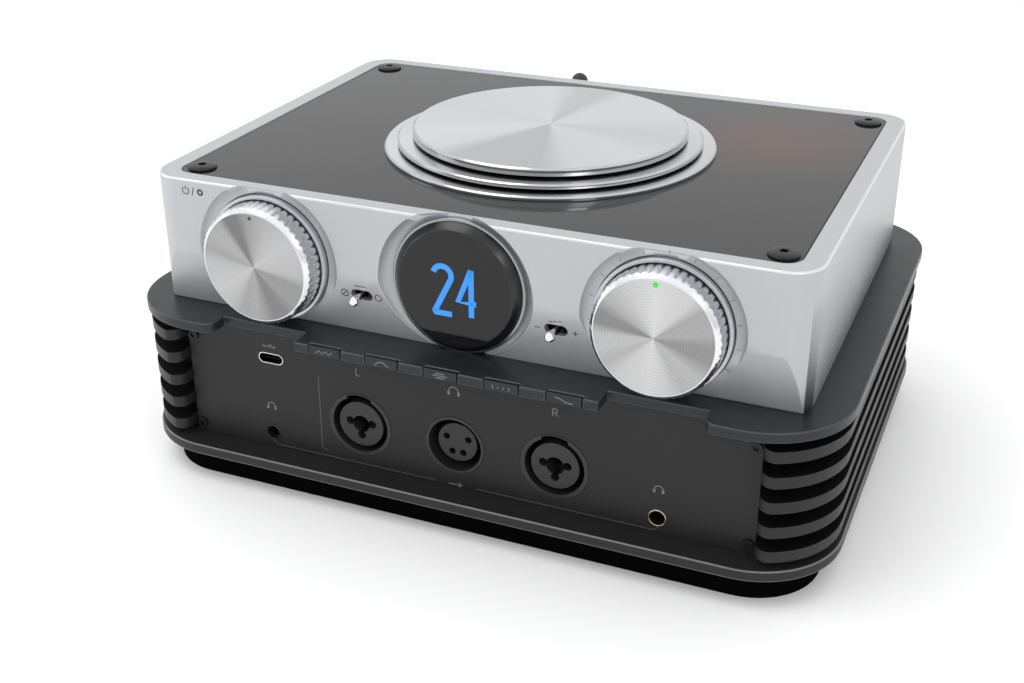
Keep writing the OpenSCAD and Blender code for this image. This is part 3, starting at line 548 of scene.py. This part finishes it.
# near black: painted shade between the heatsink fins, behind the data port's front, down the jack bores
# and on the disc spacers; also the jacks' own black insulator
BLACK_AND_PAINTED_SHADE = grain(material("black_and_painted_shade", (0.002, 0.002, 0.002), 0.0, 0.8, IOR=1.2), 0.3, 0.005, 0.05, 0.1)


# ---- upper case ----


def cone(x, radius, depth, slope):
    """Cutter for a cone-sided well in the case front"""
    past = 1
    front = (radius + slope * past / depth, CASE_FRONT - past)
    back = (radius - slope, CASE_FRONT + depth)
    return lathe([(0, front[1]), front, back, (0, back[1])], "Y", (x, KNOB_Z), 128)


def cylinder_y(x, z, y0, y1, radius, segments=96, bm=None):
    """Plain cylinder along Y, as a cutter"""
    return lathe([(0, y0), (radius, y0), (radius, y1), (0, y1)], "Y", (x, z), segments, bm)


def lean_cutter():
    """Cutter for the leaning lower front, with a soft crease"""
    angle = math.atan(LEAN / (CREASE_Z - PLATE_TOP))
    below = PLATE_TOP - 1
    foot = CASE_FRONT + math.tan(angle) * (CREASE_Z - below)
    line = [
        (CASE_FRONT - 0.02, CREASE_Z + 4),
        (CASE_FRONT - 0.001, CREASE_Z),
        (foot, below),
    ]
    soft = round_corners(line, [0, CREASE_SOFT, 0], 8)
    outside = [Vector((CASE_FRONT - 3, below)), Vector((CASE_FRONT - 3, CREASE_Z + 4))]
    return prism(soft + outside, -CASE_W, CASE_W, axis="X")


def case_cutters():
    """Everything that is cut out of the case's block"""
    room_front = WALL_BACK
    room_back = CASE_D / 2 - CASE_WALL
    room_middle = (room_back + room_front) / 2
    room_outline = round_rect(CASE_W - 2 * CASE_WALL, room_back - room_front, 5, 6)
    room = [(x, y + room_middle) for x, y in room_outline]
    glass_w = GLASS_HIGH.x - GLASS_LOW.x
    glass_d = GLASS_HIGH.y - GLASS_LOW.y
    yield lean_cutter()
    yield prism(room, PLATE_TOP - 1, GLASS_LOW.z - 4)
    yield prism(round_rect(glass_w - 10, glass_d - 20, 5, 6), PLATE_TOP + 30, CASE_TOP + 2)
    opening = round_rect(glass_w + 2 * GLASS_GAP, glass_d + 2 * GLASS_GAP, 5.9, 8)
    yield prism(opening, GLASS_LOW.z, CASE_TOP + 2)
    yield cone(-KNOB_X, WELL_R, WELL_DEPTH, WELL_SLOPE)
    yield cone(KNOB_X, WELL_R, WELL_DEPTH, WELL_SLOPE)
    yield cone(0, POCKET_R, POCKET_DEPTH, POCKET_SLOPE)
    for side in (-1, 1):
        yield cylinder_y(side * KNOB_X, KNOB_Z, CASE_FRONT - 1, CASE_FRONT + SEAT_DEPTH, SEAT_R)
        yield cylinder_y(side * KNOB_X, KNOB_Z, CASE_FRONT, room_front + 1, 5.2, 48)
        yield prism(stadium(side * LEVER_X, LEVER_Z, 3.9, 1.9), CASE_FRONT - 1, room_front, axis="Y")
        yield box(
            (side * LEVER_X - 7.2, LEVER_RECESS, LEVER_Z - 5.2),
            (side * LEVER_X + 7.2, room_front + 1, LEVER_Z + 5.2),
        )


def edge_weight(edge):
    """How much of the bevel one edge of the carved case gets"""
    if len(edge.link_faces) != 2 or edge.calc_face_angle() < math.radians(EDGE_ANGLE):
        return 0
    middle = (edge.verts[0].co + edge.verts[1].co) / 2 / MM
    at_top = all(v.co.z / MM > CASE_TOP - 0.02 for v in edge.verts)
    reach = GLASS_GAP + 0.2
    near_glass = abs(middle.x) < GLASS_HIGH.x + reach and abs(middle.y) < GLASS_HIGH.y + reach
    if at_top and near_glass:
        return 0.5
    low = PLATE_TOP + 0.5 < middle.z < CASE_TOP - 2
    return 1 if low and middle.y < CASE_FRONT + 7 and edge.is_convex else 0


def make_case():
    """Blasted silver case: bright rounded top edge, then wells, pocket and slots carved in"""
    bm = prism(round_rect(CASE_W, CASE_D, CASE_R, 24), PLATE_TOP, CASE_TOP)
    bmesh.ops.recalc_face_normals(bm, faces=bm.faces)
    rim = [edge for edge in bm.edges if all(v.co.z > CASE_TOP - 0.01 for v in edge.verts)]
    bmesh.ops.bevel(
        bm, geom=rim, offset=RIM_BEVEL, offset_type="OFFSET", segments=3, profile=0.5,
        affect="EDGES", material=1,
    )
    piece = to_object("upper_case_shell", bm, [SILVER, SILVER_EDGE])
    carve(piece, *case_cutters())
    bm = bmesh.new()
    bm.from_mesh(piece.data)
    bmesh.ops.remove_doubles(bm, verts=bm.verts, dist=0.002 * MM)
    layer = bm.edges.layers.float.new("bevel_weight_edge")
    for edge in bm.edges:
        edge[layer] = edge_weight(edge)
    bm.to_mesh(piece.data)
    bm.free()
    soften(piece, EDGE_BEVEL, 2, by_weight=True)
    return finish(piece, "chassis", "case", "upper_case")


def make_glass():
    """Smoked glass plate let into the top"""
    w = GLASS_HIGH.x - GLASS_LOW.x
    d = GLASS_HIGH.y - GLASS_LOW.y
    bm = prism(round_rect(w, d, 5.5, 10), GLASS_LOW.z, GLASS_HIGH.z)
    piece = to_object("top_glass_plate", bm, [GLASS])
    soften(piece, 0.35, 3)
    return finish(piece, "chassis", "glass", "top_glass")


def make_disc(node, bevel, lip):
    """One turned disc: spun face, polished bevel and edge"""
    low, high = span(node)
    r = (high.x - low.x) / 2
    middle = (low.y + high.y) / 2
    z0 = low.z
    z1 = high.z
    points = [(0, z1), (r - bevel - lip, z1), (r - bevel, z1), (r, z1 - bevel), (r, z0), (0, z0)]
    line = round_corners(points, [0, 0, 0.12, 0.2, 0.15, 0], 4)
    face_zone = [0 if p.x < r - bevel - lip / 2 and p.y > z1 - 0.02 else 1 for p in line[1:]]
    bm = lathe(line, "Z", (0, 0), 192, zones=face_zone)
    piece = to_object(node + "_turned", bm, [SPUN_SHEEN_PAINTED_DISC, DISC_EDGE_PAINTED_SHADE], (0, middle, 0))
    smooth(piece, 40)
    return finish(piece, "chassis", "polished", node)


# ---- knobs, collars and display ----


def make_knob(node, x, body, face):
    """Knob: spun face, polished bevel, grooved grip, hollow back"""
    bevel = KNOB_R - FACE_R
    f = KNOB_FACE
    outer = [
        (0, f, 0), (FACE_R - 0.25, f, 0), (FACE_R, f + 0.06, 0), (FACE_R + 0.2, f + 0.22, 0),
        (KNOB_R - 0.55, f + bevel - 0.58, 0), (KNOB_R - 0.2, f + bevel - 0.2, 0.12),
        (KNOB_R - 0.04, f + bevel + 0.1, 0.34), (KNOB_R, f + bevel + 0.4, 0.42),
        (KNOB_R, KNOB_BACK - 0.4, 0.42), (KNOB_R - 0.1, KNOB_BACK - 0.1, 0.34),
        (KNOB_R - 0.4, KNOB_BACK, 0.2), (KNOB_R - 2, KNOB_BACK, 0), (KNOB_R - 2.6, f + 4.5, 0),
        (8, f + 4.5, 0), (8, KNOB_BACK, 0), (3.05, KNOB_BACK, 0), (3.05, f + 3, 0), (0, f + 3, 0),
    ]
    profile = [(r, y) for r, y, dent in outer]
    depths = [dent for r, y, dent in outer]
    zones = [0, 1, 1, 1, 1] + [2] * (len(outer) - 6)
    bm = lathe(profile, "Y", (0, 0), GRIP_GROOVES * 10, zones=zones, dents=(GRIP_GROOVES, depths))
    piece = to_object(node + "_turned", bm, [face, POLISHED, GRIP], (x, 0, KNOB_Z))
    smooth(piece, 38)
    return finish(piece, body, "polished", node)


def make_dot(name, x, radius, stuff, body, slot, *nodes):
    """Small domed dot near a knob's rim"""
    y = KNOB_FACE
    dome = [(0, y - 0.06), (radius * 0.7, y - 0.04), (radius, y + 0.02), (radius, y + 0.3), (0, y + 0.3)]
    piece = to_object(name, lathe(dome, "Y", (x, KNOB_Z + DOT_RISE), 32), [stuff])
    smooth(piece)
    return finish(piece, body, slot, *nodes)


def make_collar(node, x):
    """Thin bright ring round a knob"""
    low, high = span(node)
    r1 = (high.x - low.x) / 2
    r0 = COLLAR_R
    points = [(r0, high.y), (r0, low.y), (r1, low.y), (r1, high.y), (r0, high.y)]
    line = round_corners(points, [0, 0.2, 0.28, 0, 0], 4)
    piece = to_object(node + "_turned", lathe(line, "Y", (0, 0), 128), [COLLAR], (x, 0, KNOB_Z))
    smooth(piece)
    return finish(piece, "chassis", "polished", node)


def make_display():
    """Bright ring and domed black cover"""
    ring_low, ring_high = span("display_ring")
    ring_r = (ring_high.x - ring_low.x) / 2
    y0 = ring_low.y
    y1 = CASE_FRONT + POCKET_DEPTH
    points = [(RING_R, y1), (RING_R, y0), (ring_r, y0), (ring_r, y1), (RING_R, y1)]
    line = round_corners(points, [0, 0.1, 0.3, 0, 0], 4)
    ring = to_object("display_ring_turned", lathe(line, "Y", (0, KNOB_Z), 160), [RING])
    smooth(ring)
    finish(ring, "chassis", "polished", "display_ring")
    lens_r = (LENS_HIGH.x - LENS_LOW.x) / 2
    points = [
        (0, LENS_FACE), (LENS_FACE_R, LENS_FACE), (lens_r, y0), (lens_r - 2.2, y0),
        (18.4, LENS_FACE + 1.5), (0, LENS_FACE + 1.5),
    ]
    shape = round_corners(points, [0, 1.2, 0.3, 0, 0, 0], 6)
    zones = [0 if p.x < LENS_FACE_R - 0.3 else 1 for p in shape[1:]]
    turned = lathe(shape, "Y", (0, KNOB_Z), 160, zones=zones)
    cover = to_object("display_lens_dome", turned, [LENS, LENS_EDGE])
    smooth(cover, 50)
    finish(cover, "chassis", "lens", "display_lens")


# ---- printed and lit marks ----


def strokes(bm, lines, width, surface, lift=SKIN, closed=False):
    """Raised strokes on the front; lines hold (x, z) points and surface(z) gives the face's y"""
    for line in lines:
        points = [Vector(p) for p in line]
        if closed:
            points.append(points[0])
        sides = []
        for i, p in enumerate(points):
            before = points[i - 1] if i else (points[-2] if closed else p)
            after = points[i + 1] if i + 1 < len(points) else (points[1] if closed else p)
            along = (after - before).normalized()
            across = Vector((-along.y, along.x)) * width / 2
            sides.append((p + across, p - across))
        rows = []
        for a, b in sides:
            row = []
            for side, depth in ((a, -lift), (b, -lift), (b, 0.05), (a, 0.05)):
                row.append(bm.verts.new((side.x, surface(side.y) + depth, side.y)))
            rows.append(row)
        for one, two in zip(rows, rows[1:]):
            for k in range(4):
                bm.faces.new((one[k], one[(k + 1) % 4], two[(k + 1) % 4], two[k]))
        bm.faces.new(rows[0])
        bm.faces.new(rows[-1])
    return bm


def arc_points(x, z, radius, start, stop, steps=20):
    """Points on an arc in the XZ plane, angles in degrees"""
    turns = [math.radians(start + (stop - start) * k / steps) for k in range(steps + 1)]
    return [(x + radius * math.cos(t), z + radius * math.sin(t)) for t in turns]


def case_surface(z):
    """Y of the case's front at a height"""
    return CASE_FRONT + max(0, (CREASE_Z - z) * LEAN / (CREASE_Z - PLATE_TOP))


def panel_surface(z):
    """Y of the front panel"""
    return PANEL_FRONT


def marks(name, lines, width, surface, stuff, slot="body", body="chassis", lift=SKIN):
    """One object with a set of printed strokes"""
    bm = strokes(bmesh.new(), lines, width, surface, lift)
    piece = to_object(name, bm, [stuff])
    return finish(piece, body, slot)


def headphone_lines(x, z, size):
    """Small pair of headphones: the band's line and the two cups' lines"""
    band = arc_points(x, z, size, 0, 180)
    cups = [[(x + side * size, z + 0.1), (x + side * size, z - size * 0.75)] for side in (-1, 1)]
    return [band], cups


def make_case_marks():
    """Power, mode and gain symbols and the volume ticks"""
    x = -99.8
    z = CASE_TOP - 4
    ring = arc_points(x, z, 1.25, 120, 420)
    lines = [ring, [(x, z + 0.4), (x, z + 1.7)], [(x + 2.5, z - 1.4), (x + 3.3, z + 1.4)]]
    lines.append(arc_points(x + 5.8, z, 1.05, 0, 360))
    lines.append(arc_points(x + 5.8, z, 0.7, 0, 360))
    marks("power_marks", lines, 0.36, case_surface, DARK_PRINT, "case")
    mode = -LEVER_X
    z = LEVER_Z
    lines = [arc_points(mode - 6.3, z, 1.3, 0, 360), [(mode - 7.3, z - 1), (mode - 5.3, z + 1)]]
    lines += [arc_points(mode + 6.2, z, 1.2, 0, 360)]
    lines += [[(mode - 2.2, z + 3.5), (mode + 2.2, z + 3.5)]]
    marks("mode_marks", lines, 0.36, case_surface, DARK_PRINT, "case")
    gain = LEVER_X
    lines = [[(gain - 7.2, z), (gain - 5.4, z)], [(gain + 5.7, z), (gain + 7.5, z)]]
    lines += [[(gain + 6.6, z - 0.9), (gain + 6.6, z + 0.9)]]
    lines += [[(gain - 2.2, z + 3.1), (gain - 1, z + 3.1)]]
    lines += [[(gain - 0.6, z + 3.3), (gain + 0.6, z + 3.3)]]
    lines += [[(gain + 1, z + 3.6), (gain + 2.2, z + 3.6)]]
    marks("gain_marks", lines, 0.36, case_surface, DARK_PRINT, "case")
    ticks = []
    for k in range(13):
        turn = math.radians(205 - k * 19.5)
        inner, outer = (22.9, 24.7) if k % 3 == 0 else (23.3, 24.6)
        ticks.append([
            (KNOB_X + inner * math.cos(turn), KNOB_Z + inner * math.sin(turn)),
            (KNOB_X + outer * math.cos(turn), KNOB_Z + outer * math.sin(turn)),
        ])
    floor = CASE_FRONT + WELL_DEPTH
    marks("volume_ticks", ticks, 0.2, lambda height: floor, PRINT, "case")


def make_panel_marks():
    """Hairlines, headphone symbols and channel marks on the front panel"""
    jack = (JACK_LOW.x + JACK_HIGH.x) / 2
    low = 15.5
    bracket = round_corners([(-51.6, 47), (-51.9, low + 2.6), (-49.5, low + 2.2)], [0, 1.4, 0])
    left = round_corners([(-jack - 0.4, low + 1.4), (-jack + 1.4, low), (-8, low)], [0, 0.8, 0])
    right = round_corners([(8, low), (jack - 1, low), (jack + 0.6, low + 1.4)], [0, 0.8, 0])
    marks("panel_lines", [bracket, left, right], 0.28, panel_surface, LINE_PRINT)
    spots = {"middle": (0, 51.4, 1.8), "left": (-jack, 30.8, 1.5), "right": (jack, 30.8, 1.5)}
    for name, (x, z, size) in spots.items():
        band, cups = headphone_lines(x, z, size)
        marks(f"headphone_band_{name}", band, 0.34, panel_surface, PRINT)
        marks(f"headphone_cups_{name}", cups, 0.85, panel_surface, PRINT)
    lines = [[(-36.6, 53), (-36.6, 50.2), (-35, 50.2)]]
    lines += [[(35.2, 50), (35.2, 52.8)]]
    lines += [round_corners([(35.2, 52.7), (36.8, 52.7), (36.8, 51.4), (35.2, 51.4)], [0, 0.6, 0.6, 0])]
    lines += [[(36, 51.4), (36.9, 50)]]
    marks("channel_marks", lines, 0.36, panel_surface, PRINT)
    port_x = -70.3
    z = 54.6
    head = [(port_x + 1.3, z + 0.6), (port_x + 2.2, z), (port_x + 1.3, z - 0.6)]
    lines = [[(port_x - 2.2, z), (port_x + 1.6, z)], head]
    lines += [[(port_x - 0.8, z), (port_x, z + 0.8), (port_x + 0.8, z + 0.8)]]
    lines += [arc_points(port_x - 2.4, z, 0.35, 0, 360)]
    marks("port_marks", lines, 0.3, panel_surface, PRINT)
    middle = [[(-2.6, low), (2.2, low)], [(1.2, low + 0.9), (2.4, low), (1.2, low - 0.6)]]
    marks("output_marks", middle, 0.42, panel_surface, PRINT)


def make_number():
    """Lit level on the display: two digits, as any volume readout has"""
    height = 16.5
    width = 6.4
    base = KNOB_Z - height / 2 - 0.4
    left = -7.4
    right = 1.2
    head = arc_points(width / 2, height - width / 2, width / 2, 165, -35, 18)
    two = head + round_corners([head[-1], (0.15, 0.2), (0.15, 0)], [0, 0, 0]) + [(width, 0)]
    stem = [(width * 0.74, 0), (width * 0.74, height)]
    bar = [(width * 0.74, height), (0, height * 0.3), (width, height * 0.3)]
    digits = [[(x + left, z + base) for x, z in two]]
    digits += [[(x + right, z + base) for x, z in line] for line in (stem, bar)]
    marks("display_number", digits, 1.9, lambda z: LENS_FACE, BLUE, "screen", lift=0.05)


# ---- levers ----


def make_lever(node, x, body):
    """Chrome bat lever, straight ahead in its slot"""
    tip = -12.6
    points = [
        (0, tip), (1.0, tip + 0.05), (1.65, tip + 0.8), (1.8, tip + 1.7), (1.65, tip + 3),
        (1.25, tip + 6.2), (1.15, tip + 8.4), (1.15, -1.2), (1.9, -0.6), (1.9, 0.6), (0, 1.9),
    ]
    line = round_corners(points, [0, 0.6, 0.8, 1, 2, 3, 1, 0.4, 0.6, 0.8, 0], 4)
    bm = lathe(line, "Y", (0, 0), 48)
    lathe([(0, -4), (0.8, -4), (0.8, 4), (0, 4)], "Z", (0, 0), 24, bm)
    bmesh.ops.translate(bm, verts=bm.verts, vec=(x, LEVER_PIVOT, LEVER_Z))
    piece = to_object(node + "_turned", bm, [CHROME])
    smooth(piece, 40)
    return finish(piece, body, "chrome", node)


# ---- platform and keys ----


def platform_outline():
    """Platform seen from above, with a notch under each knob and a slot for each key"""
    w = PLATE_HIGH.x
    d = -PLATE_FRONT
    tongue, outer, deep, nose, lip = 54, 87, 8.3, 4, 1.9
    half = KEY_W / 2 + 0.3
    front = []
    for i in (-2, -1, 0, 1, 2):
        x = i * KEY_PITCH
        front += [(x - half, -d, 0), (x - half, -d + lip, 0), (x + half, -d + lip, 0), (x + half, -d, 0)]
    left = [(-w, -d, BASE_R), (-outer, -d, nose), (-outer, -d + deep, 0.5)]
    left += [(-tongue, -d + deep, 0.5), (-tongue, -d, 0.6)]
    right = [(-x, y, r) for x, y, r in reversed(left)]
    back = [(w, d, BASE_R), (-w, d, BASE_R)]
    points = left + front + right + back
    places = [(x, y) for x, y, r in points]
    radii = [r for x, y, r in points]
    return round_corners(places, radii, 12, closed=True, share=0.8)


def make_platform():
    """Black satin platform"""
    bm = prism(platform_outline(), PLATE_LOW.z, PLATE_TOP)
    piece = to_object("platform_plate", bm, [SATIN, SATIN_EDGE])
    soften(piece, 0.45, 3, 25, edge=1)
    return finish(piece, "chassis", "platform", "platform")


def make_key(i):
    """One key: a lip flush with the platform's front and a shank behind it"""
    node = f"key_{i}"
    low, high = span(node)
    lip = 0.9
    bm = box(low, (high.x, low.y + lip, high.z))
    box((low.x, low.y + lip - 0.01, low.z), (high.x, high.y, high.z - 1.5), bm)
    piece = to_object(node + "_cap", bm, [SATIN])
    soften(piece, 0.18, 3)
    return finish(piece, node, "platform", node)


def make_key_marks():
    """A small plain symbol on each key"""
    z = PLATE_TOP - 1.9
    shapes = {
        1: [[(-3, -0.5), (-1.8, 0.6), (-0.6, -0.5), (0.6, 0.6), (1.8, -0.5), (3, 0.6)]],
        2: [[(-2.4, -0.7), (-0.8, 0.7), (1, 0.7), (2.6, -0.7)]],
        3: [[(-2.6, 0), (2.6, 0)], [(-1.6, 0.8), (1.6, 0.8)], [(-1.6, -0.8), (1.6, -0.8)]],
        4: [[(a, -b), (a, b)] for a, b in ((-2.8, 0.7), (-1, 0.4), (1, 0.4), (2.8, 0.7))],
        5: [[(-3, 0.7), (-1.2, 0.5), (0.6, -0.5), (3, -0.7)]],
    }
    for i, lines in shapes.items():
        x = (i - 3) * KEY_PITCH
        placed = [[(x + a, z + b) for a, b in line] for line in lines]
        marks(f"key_{i}_mark", placed, 0.34, lambda height: PLATE_FRONT, PRINT, "platform", f"key_{i}")


# ---- front jacks ----


def make_jack(node, stuff, slot, face_r, bore):
    """Round jack: a thin bright rim, a black insulator and a deep bore with near-black painted shade in
    it
    """
    low, high = span(node)
    x = (low.x + high.x) / 2
    z = low.z + face_r
    y = low.y
    rim = face_r - 0.45
    points = [
        (bore, high.y - 1), (bore, y + 0.9), (bore + 0.2, y + 0.7), (rim, y + 0.7), (rim, y + 0.1),
        (rim + 0.1, y), (face_r - 0.15, y), (face_r, y + 0.15), (face_r, PANEL_BACK),
    ]
    # the first four stretches are near black: the insulator's own black, and painted shade down the bore
    zones = [1, 1, 1, 1, 0, 0, 0, 0]
    bm = lathe(points, "Y", (x, z), 64, zones=zones)
    piece = to_object(node + "_bezel", bm, [stuff, BLACK_AND_PAINTED_SHADE])
    smooth(piece, 60)
    finish(piece, "chassis", slot)
    # a near-black plug down the bore: painted shade
    hole = [(0, high.y - 1), (bore + 0.3, high.y - 1), (bore + 0.3, PANEL_BACK + 1), (bore, PANEL_BACK)]
    shade_liner = to_object(node + "_bore_painted_shade", lathe(hole, "Y", (x, z), 48), [BLACK_AND_PAINTED_SHADE])
    smooth(shade_liner, 40)
    finish(shade_liner, "chassis", slot, node)


# ---- camera, lights and floor ----


def make_floor():
    """Plain pale floor"""
    bm = bmesh.new()
    size = 4000
    corners = [(-size, -size), (size, -size), (size, size), (-size, size)]
    bm.faces.new([bm.verts.new((x, y, 0)) for x, y in corners])
    stuff = material("floor_white", (0.965, 0.965, 0.965), 0.0, 0.6)
    grain(stuff, 2, 0.01, 0.05)
    to_object("floor", bm, [stuff])


def make_light(name, direction, distance, size, radiance, colour=(1, 1, 1)):
    """Soft rectangle of light aimed at the object; radiance is against the room's 1"""
    lamp = bpy.data.lights.new(name, "AREA")
    lamp.shape = "RECTANGLE"
    lamp.size, lamp.size_y = size
    lamp.energy = radiance * math.pi * size[0] * size[1]
    lamp.color = colour
    holder = bpy.data.objects.new(name, lamp)
    bpy.context.scene.collection.objects.link(holder)
    way = Vector(direction).normalized()
    target = Vector((0, 0, CASE_TOP * MM * 0.7))
    holder.location = target + way * distance
    holder.rotation_euler = (-way).to_track_quat("-Z", "Y").to_euler()
    return holder


def make_world():
    """White studio room, a little dimmer towards the horizon"""
    world = bpy.data.worlds.new("studio")
    bpy.context.scene.world = world
    world.use_nodes = True
    nodes = world.node_tree.nodes
    links = world.node_tree.links
    back = nodes["Background"]
    coords = nodes.new("ShaderNodeTexCoord")
    split = nodes.new("ShaderNodeSeparateXYZ")
    ramp = nodes.new("ShaderNodeValToRGB")
    links.new(coords.outputs["Generated"], split.inputs[0])
    links.new(split.outputs["Z"], ramp.inputs["Fac"])
    links.new(ramp.outputs["Color"], back.inputs["Color"])
    stops = ramp.color_ramp.elements
    stops[0].position = 0.0
    stops[0].color = (0.72, 0.73, 0.75, 1)
    stops[1].position = 0.55
    stops[1].color = (1.0, 1.0, 1.0, 1)
    back.inputs["Strength"].default_value = 1.16


def make_camera():
    """Camera at the object's front, a little to its right and above.
    Its place, turn and lens come from a fit to the photograph's edges and circles."""
    data = bpy.data.cameras.new("camera")
    data.sensor_width = 36
    data.lens = 48.71
    data.clip_start = 0.01
    holder = bpy.data.objects.new("camera", data)
    bpy.context.scene.collection.objects.link(holder)
    holder.location = (0.1754, -0.4489, 0.2686)
    holder.rotation_euler = [math.radians(turn) for turn in (63.77, 0.124, 22.944)]
    bpy.context.scene.camera = holder


def paint_nodes():
    """Materials for the CAD nodes that stay as they are"""
    looks = {
        # the disc spacers get near-black painted shade in the gaps between the discs
        "disc_stud": STEEL, "disc_spacers": BLACK_AND_PAINTED_SHADE, "display_panel": SCREEN, "menu_shaft": STEEL,
        "menu_plunger": STEEL, "menu_encoder": PLASTIC, "volume_shaft": STEEL,
        "volume_pot": PLASTIC, "motor": STEEL, "motor_pinion": GOLD, "mode_switch": PLASTIC,
        "gain_switch": PLASTIC, "control_board": BOARD, "valve_board": BOARD, "valves": VALVE,
        "valve_sockets": CERAMIC, "case_bolts": BLACKENED, "key_switches": PLASTIC,
        "main_board": BOARD, "capacitors": CANS, "chip_heatsinks": GRAPHITE,
        "front_panel": GRAPHITE, "aerial_mount": GOLD,
    }
    for node, stuff in looks.items():
        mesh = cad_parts[node].data
        mesh.materials.clear()
        mesh.materials.append(stuff)


def build():
    """Every piece of the object"""
    make_case()
    make_glass()
    make_disc("disc_low", 0.5, 0.2)
    make_disc("disc_middle", 0.5, 0.2)
    make_disc("disc_top", 0.6, 0.2)
    make_knob("menu_knob", -KNOB_X, "menu_dial", SPUN_SHEEN_SHADE_PAINTED_MENU)
    make_knob("volume_knob", KNOB_X, "volume_dial", SPUN_SHEEN_PAINTED_VOLUME)
    make_dot("menu_dot", -KNOB_X, 0.75, DARK_PRINT, "menu_dial", "polished")
    make_dot("volume_dot", KNOB_X, 1.0, GREEN, "volume_dial", "lamp", "volume_lamp")
    make_collar("menu_collar", -KNOB_X)
    make_collar("volume_collar", KNOB_X)
    make_display()
    make_number()
    make_lever("mode_lever", -LEVER_X, "mode_bat")
    make_lever("gain_lever", LEVER_X, "gain_bat")
    make_platform()
    for i in range(1, 6):
        make_key(i)
    make_key_marks()
    make_case_marks()
    make_panel_marks()
    make_jack("large_jack", PALE_GOLD, "gold", 3.1, 2.25)
    make_jack("small_jack", PLASTIC, "plastic", 3.0, 1.8)
    refined("glass_screws", "chassis", "screws", BLACKENED, 0.12)
    # faces between the fins get near-black painted shade
    refined("heatsink_left", "chassis", "body", GRAPHITE, 0.45, shade_mask=fin_shade_mask)
    refined("heatsink_right", "chassis", "body", GRAPHITE, 0.45, shade_mask=fin_shade_mask)
    refined("rear_panel", "chassis", "body", GRAPHITE, 0.15)
    refined("panel_screws", "chassis", "screws", BLACKENED, 0.1)
    refined("combo_left", "chassis", "plastic", PLASTIC, 0.18)
    refined("combo_right", "chassis", "plastic", PLASTIC, 0.18)
    refined("balanced_socket", "chassis", "plastic", PLASTIC, 0.18)
    refined("data_port", "chassis", "chrome", STEEL, 0.1, shade_mask=port_shade_mask)
    refined("line_sockets", "chassis", "gold", GOLD, 0.15)
    refined("rear_sockets", "chassis", "plastic", PLASTIC, 0.15)
    refined("aerial_knuckle", "aerial_swivel", "plastic", PLASTIC, 0.2)
    refined("aerial_rod", "aerial", "plastic", PLASTIC, 0.2)
    refined("base_plate", "chassis", "body", GRAPHITE, 0.5, edge=EDGE)
    refined("base_foot", "chassis", "rubber", RUBBER, 0.4)
    paint_nodes()


make_camera()
make_world()
make_floor()
make_light("over_left", (-0.40, -0.35, 0.95), 1.1, (0.6, 0.5), 2.4)
make_light("left_side", (-0.95, -0.30, 0.12), 1.0, (0.35, 0.5), 1.7)
make_light("right_front", (0.60, -0.62, 0.45), 1.2, (0.3, 0.3), 3.5)
bpy.context.scene.view_settings.view_transform = "Standard"
build()
